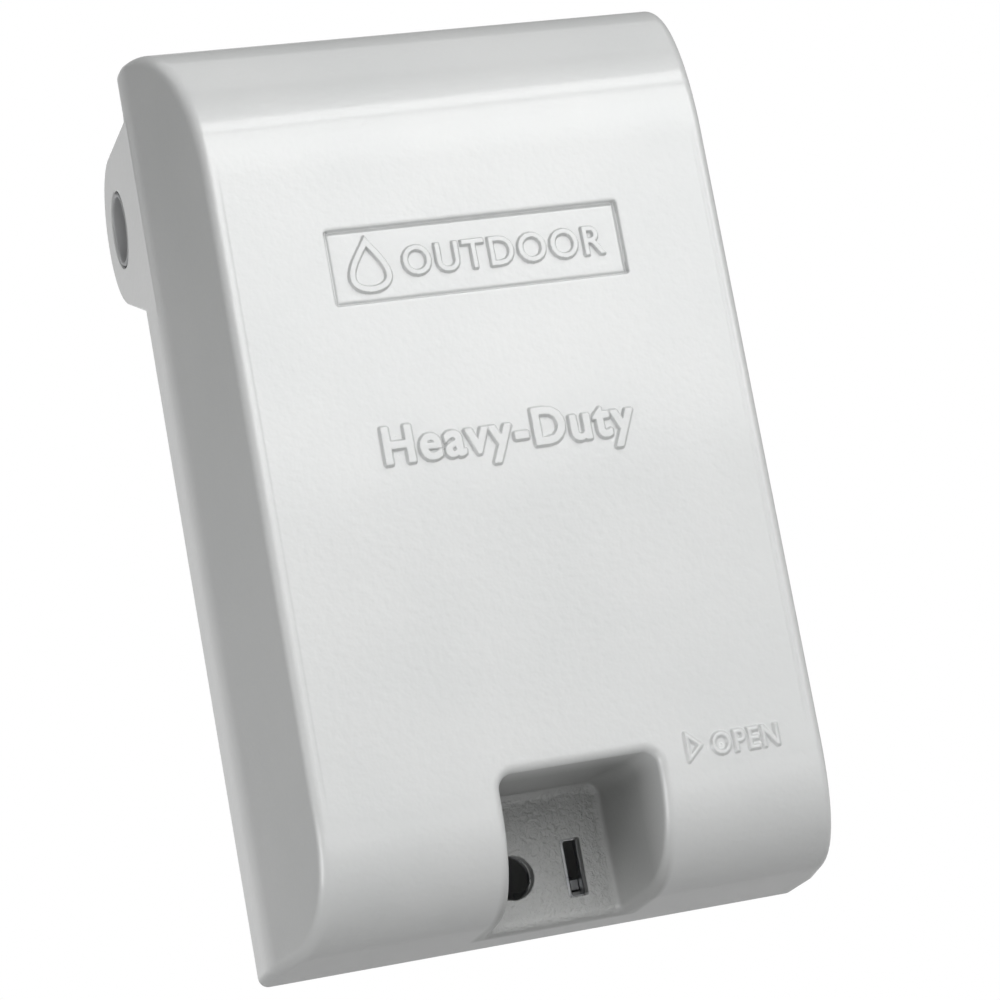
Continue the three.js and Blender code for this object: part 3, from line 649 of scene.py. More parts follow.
MOUNT_SCREW_Z = 41.65
MOUNT_HOLE_RADIUS = 2.1
KEYHOLE = {"x": 29, "z": 50, "head": 4, "slot": 2.1, "reach": 8}
CORD_X = 26
CORD_NOTCH_HALF = 6.5
CORD_Y = RIM + 15 - CORD_NOTCH_HALF
SHACKLE_NOTCH = {"x": (-12, 0.5), "back": RIM + 12}
HASP_SCREW_X = 7
HASP_SCREW_Y = (RIM + 2, RIM + 9)
HASP_HOLE_RADIUS = 1.8
BACK_OPENING = {"half_x": 22, "half_z": 37.5, "corner": 3}


def base_outline(x, z, half_width, inset, corner):
    half_height = BASE_HALF_HEIGHT - inset
    return rounded_rectangle(x, z - BASE_MIDDLE, half_width - inset, half_height, corner - inset)


def base_rear(y, z, inset):
    """The rear plane, and the corner above it that follows the swing of the lid's rim."""
    swing = hinge_distance(y, z) - (SWEEP_RADIUS - inset)
    above_hinge = (y > HINGE_Y) & (z > HINGE_Z)
    return np.maximum(y - BASE_REAR + inset, np.where(above_hinge, swing, -SWEEP_RADIUS))


def mount_holes(x, z):
    return np.hypot(x, np.abs(z) - MOUNT_SCREW_Z) - MOUNT_HOLE_RADIUS


def keyholes(x, z):
    """Four keyholes whose slots all run upwards."""
    across = np.abs(x) - KEYHOLE["x"]
    up = np.where(z > 0, z - KEYHOLE["z"], z + KEYHOLE["z"])
    head = np.hypot(across, up) - KEYHOLE["head"]
    slot = both(np.abs(across) - KEYHOLE["slot"], slab(up, 0, KEYHOLE["reach"]), SMALL_EDGE)
    return either(head, slot, SMALL_EDGE)


def back_opening(x, z, inset=0):
    return rounded_rectangle(x, z, *(size - inset for size in BACK_OPENING.values()))


def rear_holes(x, z):
    return deepest([mount_holes(x, z), keyholes(x, z), back_opening(x, z)])


def cord_notch(x, y, grow=0):
    """Plan view of both cord notches: straight sides that end in a half circle."""
    across = np.abs(np.abs(x) - CORD_X)
    beyond = np.maximum(y - CORD_Y, 0)
    return np.hypot(across, beyond) - CORD_NOTCH_HALF - grow


def hasp_screw_holes(x, y):
    return deepest([np.hypot(x - HASP_SCREW_X, y - place) - HASP_HOLE_RADIUS for place in HASP_SCREW_Y])


def base_shape(points):
    x, y, z = points.T
    tray = both(base_outline(x, z, HALF_BASE, 0, BASE_CORNER), base_rear(y, z, 0), BASE_REAR_EDGE)
    hood = np.maximum(HOOD_FRONT - y, BASE_TOP - HOOD_FOOT - z)
    front = either(BASE_FRONT - y, hood, BASE_FILLET)
    tray = both(tray, front, BASE_EDGE)
    flange = base_outline(x, z, HALF_FLANGE, 0, BASE_CORNER + 1)
    flange = both(flange, slab(y, BASE_FRONT, BASE_FRONT + FLANGE_THICKNESS), BASE_EDGE)
    across = slab(np.abs(x), HALF_BASE - BASE_WALL, BASE_HIGH[0])
    boss = both(hinge_distance(y, z) - BOSS_RADIUS, across, BASE_EDGE)
    body = either(either(tray, flange, BASE_REAR_EDGE), boss, BASE_FILLET)

    room = base_outline(x, z, HALF_BASE, BASE_WALL, BASE_CORNER)
    room = both(room, base_rear(y, z, BASE_WALL), ROOM_CORNER)
    body = less(body, room, 0.5)
    body = less(body, hinge_distance(y, z) - EAR_BORE / 2, CUT_EDGE)

    body = less(body, np.maximum(rear_holes(x, z), PLATE_FRONT - 1 - y), CUT_EDGE)
    shackle = np.maximum(slab(x, *SHACKLE_NOTCH["x"]), y - SHACKLE_NOTCH["back"])
    bottom_holes = deepest([cord_notch(x, y), shackle, hasp_screw_holes(x, y)])
    return less(body, np.maximum(bottom_holes, z - BASE_BOTTOM - BASE_WALL - 1), CUT_EDGE)


# ---- Gaskets, seals and the adapter plate

DEVICE_HALF_WIDTH = 16.75
DEVICE_HALF_HEIGHT = 33.6
DEVICE_CORNER = 2
ADAPTER_THICKNESS = 2.5
ADAPTER_CORNER = 4
ADAPTER_LIP = 2
ADAPTER_PAD = {"radius": 6, "rise": 0.25}
SHEET_EDGE = 0.35
DEVICE_GASKET = {"play": 0.3, "overlap": 0.4, "edge": 0.5}
WEATHER_SEAL_EDGE = 0.7


def device_window(x, z, grow):
    corner = DEVICE_CORNER + grow
    return rounded_rectangle(x, z, DEVICE_HALF_WIDTH + grow, DEVICE_HALF_HEIGHT + grow, corner)


def wall_gasket_shape(points):
    x, y, z = points.T
    low, high = node_box("wall_gasket")
    middle = (low[2] + high[2]) / 2
    sheet = rounded_rectangle(x, z - middle, high[0], (high[2] - low[2]) / 2, BASE_CORNER)
    sheet = both(sheet, slab(y, low[1], high[1]), SHEET_EDGE)
    return less(sheet, rear_holes(x, z), SMALL_EDGE)


def device_gasket_shape(points):
    """A rectangular frame that fits in the base's back opening."""
    x, y, z = points.T
    low, high = node_box("device_gasket")
    window = device_window(x, z, DEVICE_GASKET["overlap"])
    outline = np.maximum(back_opening(x, z, DEVICE_GASKET["play"]), -window)
    return both(outline, slab(y, low[1], high[1]), DEVICE_GASKET["edge"])


def adapter_shape(points):
    """Moulded plate with a lip round the device window and a low pad round each screw hole."""
    x, y, z = points.T
    low, high = node_box("device_adapter_plate")
    face = high[1] - ADAPTER_THICKNESS
    plate = both(rounded_rectangle(x, z, high[0], high[2], ADAPTER_CORNER), slab(y, face, high[1]), 0.6)
    lip = both(device_window(x, z, ADAPTER_LIP), slab(y, low[1], high[1] - 1), 0.5)
    pad = np.hypot(x, np.abs(z) - MOUNT_SCREW_Z) - ADAPTER_PAD["radius"]
    pad = both(pad, slab(y, face - ADAPTER_PAD["rise"], high[1] - 1), FAINT_EDGE)
    body = either(either(plate, lip, 0.5), pad, FAINT_EDGE)
    return less(body, np.minimum(device_window(x, z, 0), mount_holes(x, z)), CUT_EDGE)


def weather_seal(node):
    """A strip with rounded ends that fills the node's box."""
    low, high = node_box(node)
    middle = (low + high) / 2
    half = (high - low) / 2

    def shape(points):
        x, y, z = (points - middle).T
        outline = rounded_rectangle(x, z, half[0], half[2], half[0])
        return both(outline, np.abs(y) - half[1], WEATHER_SEAL_EDGE)

    return shape


SEAL_SLIT = 1.4
CORD_HOLE_RADIUS = 4
SEAL_PLAY = 0.3  # gap between a seal and the housing
SEAL_LIP = 2.2 - SEAL_PLAY
SEAL_EDGE = 0.6


def cord_seal_shape(points):
    """Both cord seals: a grooved plug with a hole for the cord and a slit to slip it in by."""
    x, y, z = points.T
    low, high = node_box("cord_seal_left")
    wall_low = BASE_BOTTOM - SEAL_PLAY
    wall_high = BASE_BOTTOM + BASE_WALL + SEAL_PLAY
    neck = both(cord_notch(x, y, -SEAL_PLAY), slab(z, low[2] + 1, high[2] - 1), CUT_EDGE)
    neck = np.maximum(neck, low[1] - y)
    behind_rim = RIM + 1 - y
    stem = np.maximum(neck, np.where(z < BASE_BOTTOM + FAINT_EDGE, behind_rim, -1))
    lip = cord_notch(x, y, SEAL_LIP)
    lower = both(both(lip, slab(z, low[2], wall_low), SEAL_EDGE), behind_rim, SEAL_EDGE)
    upper = both(both(lip, slab(z, wall_high, high[2]), SEAL_EDGE), low[1] - y, SEAL_EDGE)
    body = deepest([stem, lower, upper])
    across = np.abs(np.abs(x) - CORD_X)
    bore = np.hypot(across, y - CORD_Y) - CORD_HOLE_RADIUS
    slit = np.maximum(across - SEAL_SLIT / 2, y - CORD_Y)
    return less(body, np.minimum(bore, slit), CUT_EDGE)


# ---- Hinge bushes, rings, washers and screws


def hinge_tube(node, inner):
    """A tube that fills the node's box round the hinge axis."""
    low, high = node_box(node)
    outer = (high[2] - low[2]) / 2

    def shape(points):
        x, y, z = points.T
        return ring(hinge_distance(y, z), x, inner, outer, low[0], high[0], SMALL_EDGE)

    return shape


def washer(node):
    """A rubber washer with rounded edges that fills the node's box."""
    low, high = node_box(node)
    middle = (low + high) / 2

    def shape(points):
        x, y, z = (points - middle).T
        half = (high[1] - low[1]) / 2
        return ring(np.hypot(x, z), y, MOUNT_HOLE_RADIUS, high[0], -half, half, SHEET_EDGE)

    return shape


BUSH_INNER_RADIUS = 5.9
RING_INNER_RADIUS = 7.0
THREAD_PITCH = 0.8
THREAD_DEPTH = 0.28
THREAD_START = 0.6  # plain length under the head
THREAD_FADE = 0.5
RECESS_WIDTH = 0.13  # the cross recess, as shares of the head's radius and height
RECESS_REACH = 0.55
RECESS_DEPTH = 0.6


def screw(node, axis, sign, shank, head_height):
    """A cross-recessed, round-headed screw. Its head points along the axis in the sign's direction."""
    low, high = node_box(node)
    middle = (low + high) / 2
    across = [k for k in range(3) if k != axis]
    head = (high[across[0]] - low[across[0]]) / 2
    length = high[axis] - low[axis]
    shank_length = length - head_height

    def shape(points):
        u = points[:, across[0]] - middle[across[0]]
        v = points[:, across[1]] - middle[across[1]]
        up = sign * (points[:, axis] - middle[axis]) + length / 2 - shank_length
        away = np.hypot(u, v)
        turn = up / THREAD_PITCH - np.arctan2(v, u) / (2 * math.pi)
        groove = THREAD_DEPTH * (0.5 + 0.5 * np.cos(2 * math.pi * turn))
        groove *= smooth_step((-THREAD_START - up) / THREAD_FADE)
        core = both(away - shank + groove, -up - shank_length, SMALL_EDGE)
        core = np.maximum(core, up - head_height / 2)
        dome = (head**2 + head_height**2) / (2 * head_height)
        cap = np.hypot(away, up + dome - head_height) - dome
        cap = both(cap, -up, FAINT_EDGE)
        body = np.minimum(core, cap)
        wide, narrow = np.maximum(np.abs(u), np.abs(v)), np.minimum(np.abs(u), np.abs(v))
        recess = np.maximum(narrow - RECESS_WIDTH * head, wide - RECESS_REACH * head)
        floor = (1 - RECESS_DEPTH) * head_height - up
        return less(body, np.maximum(recess, floor), 0.1)

    return shape


# ---- Hasp bracket, latch slider and spring

HASP_LOW, HASP_HIGH = node_box("hasp_bracket")
PRESSED_EDGE = 0.25
HASP_THICKNESS = 1.8
HASP_CORNER = 2.5
HASP_GAP = 0.3  # between the foot and the base's bottom wall
HASP_HOLE_PLAY = 0.4  # how much larger its shackle hole is than the lid's
HASP_FOOT_X = 1.5
HASP_BEND = 1.2
HASP_EDGE = 7.3  # the window's edge, which the hook catches
HASP_WINDOW_Z = (BOTTOM + 16.6, BOTTOM + 22.4)
FINGER_ROOM = {"x": (4, 8.6), "z": (BOTTOM + 5.4, BOTTOM + 16)}


def hasp_shape(points):
    """Pressed bracket: an upright tab with the shackle hole and the latch's window, and a foot."""
    x, y, z = points.T
    front = HASP_LOW[1]
    foot_low = BASE_BOTTOM + BASE_WALL + HASP_GAP
    middle = (HASP_LOW + HASP_HIGH) / 2
    half = (HASP_HIGH - HASP_LOW) / 2
    tab = rounded_rectangle(x - middle[0], z - middle[2], half[0], half[2], HASP_CORNER)
    tab = both(tab, slab(y, front, front + HASP_THICKNESS), SMALL_EDGE)
    foot_high = (HASP_HIGH[0], HASP_HIGH[1], foot_low + HASP_THICKNESS)
    foot = brick(points, (HASP_FOOT_X, front, foot_low), foot_high, SMALL_EDGE)
    body = either(tab, foot, HASP_BEND)
    hole = shackle_hole(x, z) - HASP_HOLE_PLAY
    window = np.maximum(HASP_EDGE - x, slab(z, *HASP_WINDOW_Z))
    finger_room = np.maximum(slab(x, *FINGER_ROOM["x"]), slab(z, *FINGER_ROOM["z"]))
    through_tab = np.maximum(deepest([hole, window, finger_room]), y - front - HASP_THICKNESS - 0.5)
    return less(body, np.minimum(through_tab, hasp_screw_holes(x, y)), PRESSED_EDGE)


SLIDER_LOW, SLIDER_HIGH = node_box("latch_slider")
SLIDER_THICKNESS = 1.2
SLIDER_END = 21
PLATE_Z = (BOTTOM + 5.2, BOTTOM + 17)
ARM = {"x": (7.6, 11.5), "z": (BOTTOM + 15, BOTTOM + 21)}
HOOK = {"x": (9.4, 11.2), "z": (BOTTOM + 17.6, BOTTOM + 20.6), "nose": 2}
HOOK_GAP = 0.3
LUG = {"half_z": 2, "rear": RIM - 6.4}
SPIGOT_RADIUS = 0.7
WINDOW = {"past_slot_edge": 1.4, "end": 11.2, "half_z": 4.7}
GUIDE_SCREW_X = 16.2
GUIDE_SCREW_Z = (BOTTOM + 14.2, BOTTOM + 8)
GUIDE_SLOT_RADIUS = 1.4
GUIDE_PLAY = 0.2


def slider_shape(points):
    """Pressed plate with a finger window, two guide slots, a hook, and a lug for the spring."""
    x, y, z = points.T
    front = SLIDER_LOW[1]
    rear = front + SLIDER_THICKNESS
    spring_z = LATCH_SLOT["z"]
    hook_rear = SLIDER_HIGH[1]
    lug_z = [spring_z + side * LUG["half_z"] for side in (-1, 1)]

    def bar(across, depth, up):
        low, high = zip(across, depth, up)
        return brick(points, low, high, PRESSED_EDGE)

    plate = bar((SLIDER_LOW[0], SLIDER_END), (front, rear), PLATE_Z)
    arm = bar(ARM["x"], (front, rear), ARM["z"])
    shank = bar(HOOK["x"], (front, hook_rear), HOOK["z"])
    nose = bar((HASP_EDGE + HOOK_GAP, HOOK["x"][1]), (hook_rear - HOOK["nose"], hook_rear), HOOK["z"])
    lug = bar((SLIDER_END - SLIDER_THICKNESS, SLIDER_END), (front, LUG["rear"]), lug_z)
    away = np.hypot(y - SPRING_Y, z - spring_z)
    spigot = ring(away, x, 0, SPIGOT_RADIUS, SLIDER_END - 0.5, SLIDER_HIGH[0], PRESSED_EDGE)
    body = either(either(plate, arm, SMALL_EDGE), shank, SMALL_EDGE)
    body = either(either(body, nose, SMALL_EDGE), deepest([lug, spigot]), FAINT_EDGE)

    start = LATCH_SLOT["x"] - LATCH_SLOT["half_x"] + WINDOW["past_slot_edge"]
    middle, half = (start + WINDOW["end"]) / 2, (WINDOW["end"] - start) / 2
    cuts = [rounded_rectangle(x - middle, z - spring_z, half, WINDOW["half_z"], CUT_EDGE)]
    for place in GUIDE_SCREW_Z:
        along = slab(x, GUIDE_SCREW_X - LATCH_TRAVEL - GUIDE_PLAY, GUIDE_SCREW_X + GUIDE_PLAY)
        cuts.append(np.hypot(np.maximum(along, 0), z - place) - GUIDE_SLOT_RADIUS)
    through = np.maximum(deepest(cuts), y - rear - 0.5)
    return less(body, through, FAINT_EDGE)


SPRING_LOW, SPRING_HIGH = node_box("latch_spring")
SPRING_Y = (SPRING_LOW[1] + SPRING_HIGH[1]) / 2
SPRING_WIRE = 0.45
SPRING_TURNS = 6
SPRING_CLOSING = 0.06  # how far the end turns lie together, as a share of the length
STEPS_IN_A_TURN = 32
SIDES_OF_WIRE = 12


def spring_mesh():
    """Round wire wound along X, with its end turns lying closed."""
    steps, sides = SPRING_TURNS * STEPS_IN_A_TURN, SIDES_OF_WIRE
    radius = (SPRING_HIGH[2] - SPRING_LOW[2] - SPRING_WIRE) / 2
    length = SPRING_HIGH[0] - SPRING_LOW[0] - SPRING_WIRE
    middle_z = (SPRING_HIGH[2] + SPRING_LOW[2]) / 2
    share = np.linspace(0, 1, steps + 1)
    turn = 2 * math.pi * SPRING_TURNS * share
    along = length * (share - SPRING_CLOSING * np.sin(2 * math.pi * share))
    outward = np.stack([0 * turn, np.cos(turn), np.sin(turn)], 1)
    centre = np.array([SPRING_LOW[0] + SPRING_WIRE / 2, SPRING_Y, middle_z]) + radius * outward
    centre[:, 0] += along
    forward = np.gradient(centre, axis=0)
    forward /= np.linalg.norm(forward, axis=1)[:, None]
    aside = np.cross(forward, outward)
    points, normals, triangles = [], [], []
    for k in range(sides):
        angle = 2 * math.pi * k / sides
        normal = math.cos(angle) * outward + math.sin(angle) * aside
        points.append(centre + SPRING_WIRE / 2 * normal)
        normals.append(normal)
    points = np.concatenate(points + [centre[[0]], centre[[-1]]])
    normals = np.concatenate(normals + [-forward[[0]], forward[[-1]]])
    row = steps + 1
    start_cap, end_cap = sides * row, sides * row + 1
    for k in range(sides):
        here, there = k * row, (k + 1) % sides * row
        for i in range(steps):
            triangles.append((here + i, there + i, there + i + 1))
            triangles.append((here + i, there + i + 1, here + i + 1))
        triangles.append((start_cap, there, here))
        triangles.append((end_cap, here + steps, there + steps))
    return mesh_from("coil_spring", points, np.array(triangles), normals)


# ---- Materials


def add_node(tree, kind, **settings):
    node = tree.nodes.new("ShaderNode" + kind)
    for name, value in settings.items():
        setattr(node, name, value)
    return node


def set_inputs(node, **values):
    """Sets a node's inputs, whose names are written with _ for each space."""
    for name, value in values.items():
        node.inputs[name.replace("_", " ")].default_value = value


class Finish:
    """A procedural material whose patterns are laid out in metres in the object's own axes."""

    def __init__(self, name, metallic=0):
        self.material = bpy.data.materials.new(name)
        self.material.use_nodes = True
        self.tree = self.material.node_tree
        self.shader = self.tree.nodes["Principled BSDF"]
        set_inputs(self.shader, Metallic=metallic)
        self.place = self.node("TexCoord").outputs["Object"]

    def node(self, kind, **settings):
        return add_node(self.tree, kind, **settings)

    def link(self, source, target):
        self.tree.links.new(source, target)

    def noise(self, size, detail=2, roughness=0.5, distortion=0.0):
        """Cloudy noise whose features are about size millimetres across."""
        noise = self.node("TexNoise")
        set_inputs(noise, Scale=1 / (size * MM), Detail=detail, Roughness=roughness, Distortion=distortion)
        self.link(self.place, noise.inputs["Vector"])
        return noise.outputs["Fac"]

    def span(self, source, low, high, from_low=0.3, from_high=0.7):
        """The source's usual range turned into low to high."""
        span = self.node("MapRange")
        set_inputs(span, From_Min=from_low, From_Max=from_high, To_Min=low, To_Max=high)
        self.link(source, span.inputs["Value"])
        return span.outputs["Result"]

    def product(self, one, other):
        times = self.node("Math", operation="MULTIPLY")
        self.link(one, times.inputs[0])
        self.link(other, times.inputs[1])
        return times.outputs["Value"]

    def tint(self, source, dark, light):
        """Base colour that runs with the source from dark to light. Without dark, from what is there."""
        mix = self.node("Mix", data_type="RGBA")
        set_inputs(mix, B=(*light, 1))
        if dark is None:
            self.link(self.color, mix.inputs["A"])
        else:
            set_inputs(mix, A=(*dark, 1))
        self.link(source, mix.inputs["Factor"])
        self.color = mix.outputs["Result"]
        self.link(self.color, self.shader.inputs["Base Color"])

    def bump(self, source, height, under=None):
        """A bump height millimetres high, on top of the bump under."""
        bump = self.node("Bump")
        set_inputs(bump, Distance=height * MM)
        self.link(source, bump.inputs["Height"])
        if under is not None:
            self.link(under, bump.inputs["Normal"])
        result = bump.outputs["Normal"]
        self.link(result, self.shader.inputs["Normal"])
        return result

    def rough(self, source, low, high):
        self.link(self.span(source, low, high), self.shader.inputs["Roughness"])


def region_mask(finish, limits):
    """1 inside limits and 0 outside them. A limit is an axis, where it is still 0 and where it is 1."""
    split = finish.node("SeparateXYZ")
    finish.link(finish.place, split.inputs["Vector"])
    steps = [finish.span(split.outputs[axis], 0, 1, zero * MM, one * MM) for axis, zero, one in limits]
    return functools.reduce(finish.product, steps)


def pocket_limits(outside, inside):
    """Limits across the padlock pocket, from its side walls."""
    return [
        ("X", POCKET_X - POCKET_HALF + outside, POCKET_X - POCKET_HALF + inside),
        ("X", POCKET_X + POCKET_HALF - outside, POCKET_X + POCKET_HALF - inside),
    ]


POCKET_PAINTED_SHADE = (0.4, 0.405, 0.4)  # painted shade: the coat's colour is darkened inside the padlock pocket, where the pocket lies in shade


def grey_coat(name, pocket_wrinkles_and_painted_shade):
    """Metallic grey powder coat: orange peel, fine grain, slight cloudiness and a clear top layer. With the pocket
    option, wrinkles on the padlock pocket's back wall and painted shade inside the pocket.
    """
    finish = Finish(name, metallic=0.2)
    set_inputs(finish.shader, Coat_Weight=0.55, Coat_Roughness=0.1)
    cloud = finish.noise(26, 3)
    finish.tint(finish.span(cloud, 0, 1), (0.585, 0.595, 0.592), (0.615, 0.622, 0.618))
    surface = finish.bump(finish.noise(1.15, 1, 0.4), 0.06)
    if pocket_wrinkles_and_painted_shade:
        # Painted shade: the base colour is darkened inside the padlock pocket
        painted_shade_limits = [
            ("Y", FRONT + 2, FRONT + 12),
            ("Y", POCKET_FACE + 2.5, POCKET_FACE + 0.8),
            ("Z", BOTTOM + POCKET_HEIGHT + 2, BOTTOM + POCKET_HEIGHT + 0.5),
        ]
        finish.tint(region_mask(finish, painted_shade_limits + pocket_limits(-1.5, -0.5)), None, POCKET_PAINTED_SHADE)
        depth = [("Y", POCKET_FACE + side * 0.9, POCKET_FACE + side * 0.3) for side in (-1, 1)]
        back_wall = region_mask(finish, depth + pocket_limits(POCKET_NARROWING, POCKET_NARROWING + 1))
        wrinkle = finish.product(finish.noise(0.9, 2, 0.5, 0.4), back_wall)
        surface = finish.bump(wrinkle, 0.4, under=surface)
    finish.bump(finish.noise(0.4, 1, 0.5), 0.008, under=surface)
    finish.rough(finish.noise(0.3, 1), 0.46, 0.54)
    return finish.material


PORE_SIZE = 0.6


def foam():
    finish = Finish("closed_cell_foam")
    pores = finish.node("TexVoronoi")
    set_inputs(pores, Scale=1 / (PORE_SIZE * MM))
    finish.link(finish.place, pores.inputs["Vector"])
    distance = pores.outputs["Distance"]
    finish.tint(finish.span(distance, 0, 1, 0, 0.6), (0.028, 0.029, 0.031), (0.066, 0.068, 0.071))
    set_inputs(finish.shader, Roughness=0.85)
    finish.bump(distance, 0.12)
    return finish.material


def varied(name, metallic, colors, patches, gloss, grain):
    """Patches (size, detail) of colour, gloss (size, detail, roughness range), grain (size, height)."""
    finish = Finish(name, metallic)
    finish.tint(finish.span(finish.noise(*patches), 0, 1), *colors)
    finish.rough(finish.noise(*gloss[:2]), *gloss[2:])
    finish.bump(finish.noise(grain[0]), grain[1])
    return finish.material


ZINC = ((0.40, 0.41, 0.43), (0.52, 0.53, 0.53))
STEEL = ((0.54, 0.545, 0.55), (0.61, 0.615, 0.62))
RUBBER = ((0.02, 0.02, 0.022), (0.034, 0.034, 0.036))
DARK_GREY = ((0.30, 0.31, 0.315), (0.336, 0.3472, 0.3528))
MID_GREY = ((0.42, 0.425, 0.43), (0.4704, 0.476, 0.4816))
MOULDED = {"patches": (8, 3), "gloss": (0.9, 3, 0.44, 0.58), "grain": (0.4, 0.015)}
MATERIALS = {
    "grey_coat": grey_coat("grey_powder_coat", pocket_wrinkles_and_painted_shade=False),
    "zinc_steel": varied("zinc_plated_steel", 1, ZINC, (4, 4), (1.5, 4, 0.25, 0.42), (0.3, 0.01)),
    "stainless": varied("stainless_steel", 1, STEEL, (3, 3), (0.8, 3, 0.17, 0.3), (0.2, 0.006)),
    "rubber": varied("black_rubber", 0, RUBBER, (5, 3), (1.2, 3, 0.52, 0.72), (0.35, 0.02)),
    "foam": foam(),
    "grey_plastic": varied("grey_plastic", 0, DARK_GREY, **MOULDED),
    "bush_plastic": varied("bush_plastic", 0, MID_GREY, **MOULDED),
}
# the lid's coat, with painted shade inside the padlock pocket
LID_COAT = grey_coat("lid_powder_coat", pocket_wrinkles_and_painted_shade=True)
SLOT_OF = {part["node"]: part["material_slot"] for part in frame["record"]["subparts"]}
BODY_OF = {node: body for body, nodes in frame["record"]["behaviour"]["bodies"].items() for node in nodes}


def place_piece(mesh, node, material):
    """Puts a finished mesh in the scene in place of a frame node."""
    piece = add_object(mesh.name, mesh)
    mesh.materials.append(material)
    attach(piece, BODY_OF[node])
    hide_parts(node)
    return piece


def add_shape(node, shape, cell, material=None, **limits):
    """Meshes a shape inside a frame node's box and puts it in that node's place."""
    low, high = node_box(node)
    mesh = shape_mesh(node + "_surface", shape, low, high, cell, **limits)
    place_piece(mesh, node, material or MATERIALS[SLOT_OF[node]])


for name, item in frame["nodes"].items():
    item.data.materials.clear()
    item.data.materials.append(MATERIALS[SLOT_OF[name]])

COARSE = {"tolerance": 0.04, "shortest": 0.25}
MIDDLING = {"tolerance": 0.03, "shortest": 0.25}
FINE = {"shortest": 0.2}

add_shape("lid_casting", lid_shape, 1.25, LID_COAT, longest=lid_longest)
add_shape("base_housing", base_shape, 1.4, **MIDDLING)
add_shape("wall_gasket", wall_gasket_shape, 1.3, **COARSE)
add_shape("device_gasket", device_gasket_shape, 1.2, **COARSE)
add_shape("device_adapter_plate", adapter_shape, 1.1, **MIDDLING)
add_shape("hasp_bracket", hasp_shape, 0.8, **FINE)
add_shape("latch_slider", slider_shape, 0.5)
for side in ("left", "right"):
    node = "weather_seal_" + side
    add_shape(node, weather_seal(node), 0.7, **MIDDLING)
    add_shape("cord_seal_" + side, cord_seal_shape, 0.8, **FINE)
    node = "hinge_bush_" + side
    add_shape(node, hinge_tube(node, BUSH_INNER_RADIUS), 0.45)
    node = "hinge_ring_" + side
    add_shape(node, hinge_tube(node, RING_INNER_RADIUS), 0.5)
for end in ("top", "bottom"):
    node = "sealing_washer_" + end
    add_shape(node, washer(node), 0.4)
    node = "mounting_screw_" + end
    add_shape(node, screw(node, axis=1, sign=-1, shank=1.75, head_height=2.4), 0.3)
for end in ("front", "rear"):
    node = "hasp_screw_" + end
    add_shape(node, screw(node, axis=2, sign=1, shank=1.5, head_height=1.7), 0.25)
for end in ("upper", "lower"):
    node = "latch_guide_screw_" + end
    add_shape(node, screw(node, axis=1, sign=1, shank=1.25, head_height=1.3), 0.22)

spring = place_piece(spring_mesh(), "latch_spring", MATERIALS[SLOT_OF["latch_spring"]])
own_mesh(spring)


# ---- Camera, light and floor

CAMERA_TURN = 17.01  # degrees to the left of straight in front
CAMERA_TILT = 8.56  # degrees that it looks up
CAMERA_ROLL = 10.4
CAMERA_PLACE = Vector((-150.99, -561.07, -83.70)) * MM
CAMERA_LENS = 109.35
SENSOR = 36
NEAREST_SEEN = 0.01
STUDIO_LEVEL = 0.15
STUDIO_LEAN = (0.05, 0.1, -0.03)  # how much the studio brightens towards +X, +Y and +Z
STUDIO_GLOW = (0.8, 0.97)  # how directly behind the object the glow of the backdrop starts and is full
FLOOR_LEVEL = -0.35
FLOOR_REACH = 4
FLOOR_FADE = (0.6, 2.2)  # metres from the object over which the floor runs out into the backdrop
FLOOR_GLOW = 0.6


def make_camera():
    data = bpy.data.cameras.new("camera")
    data.lens = CAMERA_LENS
    data.sensor_width = SENSOR
    data.clip_start = NEAREST_SEEN
    camera = add_object("camera", data)
    camera.matrix_world = Matrix.Translation(CAMERA_PLACE)
    for angle, axis in ((-CAMERA_TURN, "Z"), (90 + CAMERA_TILT, "X"), (-CAMERA_ROLL, "Z")):
        camera.matrix_world @= Matrix.Rotation(math.radians(angle), 4, axis)
    bpy.context.scene.camera = camera


def area_light(name, place, target, width, height, watts, spread=180):
    """A rectangular light that faces the target and doesn't show itself."""
    data = bpy.data.lights.new(name, "AREA")
    data.shape = "RECTANGLE"
    data.size = width
    data.size_y = height
    data.energy = watts
    data.spread = math.radians(spread)
    light = add_object(name, data)
    light.visible_camera = False
    light.location = place
    direction = Vector(target) - Vector(place)
    light.rotation_euler = direction.to_track_quat("-Z", "Y").to_euler()


def make_floor():
    """A pale floor that fades into the white backdrop."""
    mesh = bpy.data.meshes.new("floor")
    turns = ((-1, -1), (1, -1), (1, 1), (-1, 1))
    corners = [(FLOOR_REACH * i, FLOOR_REACH * j, FLOOR_LEVEL) for i, j in turns]
    mesh.from_pydata(corners, [], [(0, 1, 2, 3)])
    floor = add_object("floor", mesh)
    finish = Finish("pale_floor")
    finish.tint(finish.span(finish.noise(90, 2), 0, 1), (0.59, 0.59, 0.59), (0.61, 0.61, 0.61))
    away = finish.node("VectorMath", operation="LENGTH")
    finish.link(finish.place, away.inputs[0])
    fade = finish.span(away.outputs["Value"], 0, FLOOR_GLOW, *FLOOR_FADE)
    set_inputs(finish.shader, Emission_Color=(1, 1, 1, 1), Roughness=0.8)
    finish.link(fade, finish.shader.inputs["Emission Strength"])
    mesh.materials.append(finish.material)


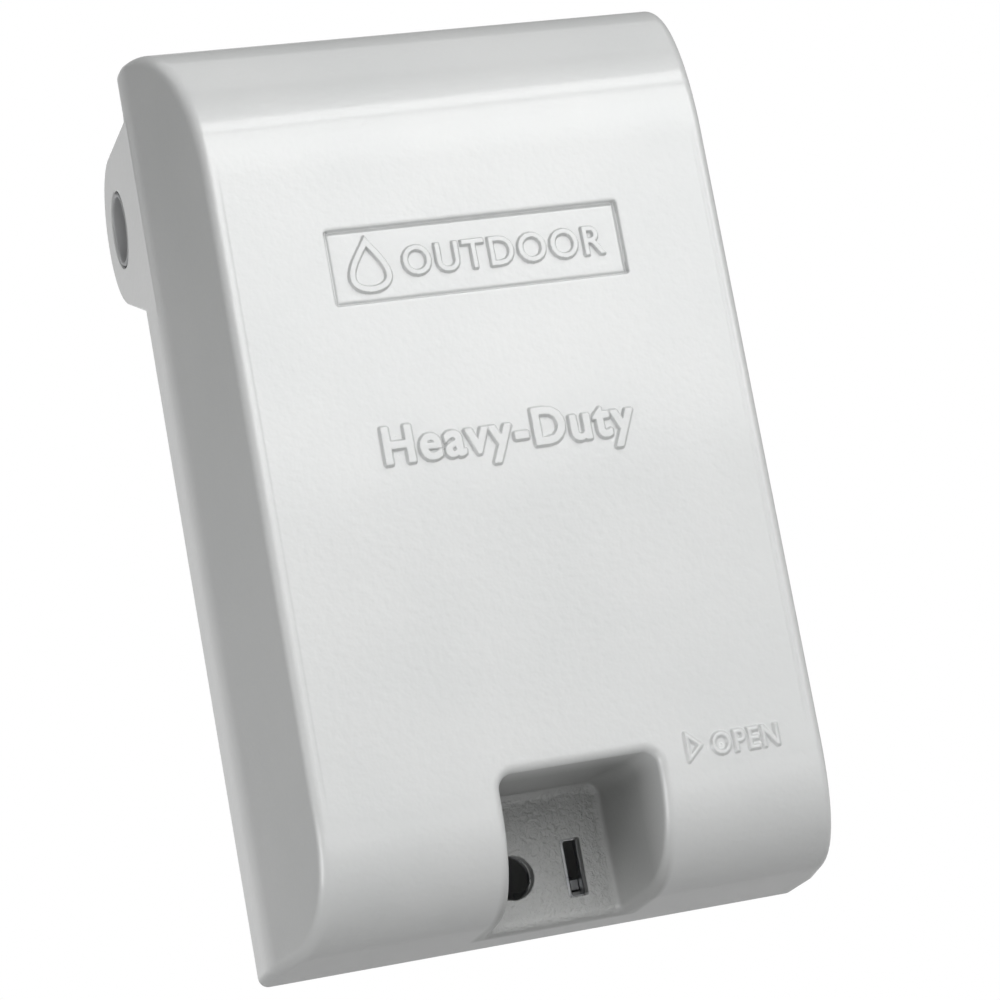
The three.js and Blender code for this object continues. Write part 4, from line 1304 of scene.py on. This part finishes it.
def make_world():
    """White to look at. As a light it is a dim, soft studio with a bright backdrop behind the object."""
    world = bpy.data.worlds.new("studio")
    world.use_nodes = True
    tree = world.node_tree
    link = tree.links.new
    direction = add_node(tree, "TexCoord").outputs["Generated"]
    lean = add_node(tree, "VectorMath", operation="DOT_PRODUCT")
    lean.inputs[1].default_value = STUDIO_LEAN
    link(direction, lean.inputs[0])
    split = add_node(tree, "SeparateXYZ")
    link(direction, split.inputs["Vector"])
    glow = add_node(tree, "MapRange", interpolation_type="SMOOTHSTEP")
    set_inputs(glow, From_Min=STUDIO_GLOW[0], From_Max=STUDIO_GLOW[1], To_Min=STUDIO_LEVEL, To_Max=1)
    link(split.outputs["Y"], glow.inputs["Value"])
    level = add_node(tree, "Math", operation="ADD")
    link(lean.outputs["Value"], level.inputs[0])
    link(glow.outputs["Result"], level.inputs[1])
    studio, backdrop = (add_node(tree, "Background") for _ in range(2))
    set_inputs(studio, Color=(1, 1, 1, 1))
    set_inputs(backdrop, Color=(1, 1, 1, 1))
    link(level.outputs["Value"], studio.inputs["Strength"])
    choose = add_node(tree, "MixShader")
    link(add_node(tree, "LightPath").outputs["Is Camera Ray"], choose.inputs["Fac"])
    link(studio.outputs["Background"], choose.inputs[1])
    link(backdrop.outputs["Background"], choose.inputs[2])
    link(choose.outputs["Shader"], tree.nodes["World Output"].inputs["Surface"])
    bpy.context.scene.world = world


bpy.context.scene.view_settings.view_transform = "Standard"
make_camera()
make_world()
make_floor()
area_light("key", (0.45, -1.4, 0.75), (0, -0.05, 0), 2.2, 1.1, 24.6)
area_light("highlight", (0.45, -0.83, 1.18), (0, -0.05, 0.06), 0.85, 0.17, 2.4)
area_light("top_fill", (0, 0.2, 1.2), (0, -0.05, 0.06), 1.6, 0.8, 3.1)
area_light("low_fill", (0.1, -1.0, -0.28), (0, -0.06, -0.06), 1.6, 0.3, 0.9)
area_light("left_fill", (-0.45, -0.2, -0.15), (-0.05, -0.05, -0.045), 0.25, 0.25, 0.075, spread=50)
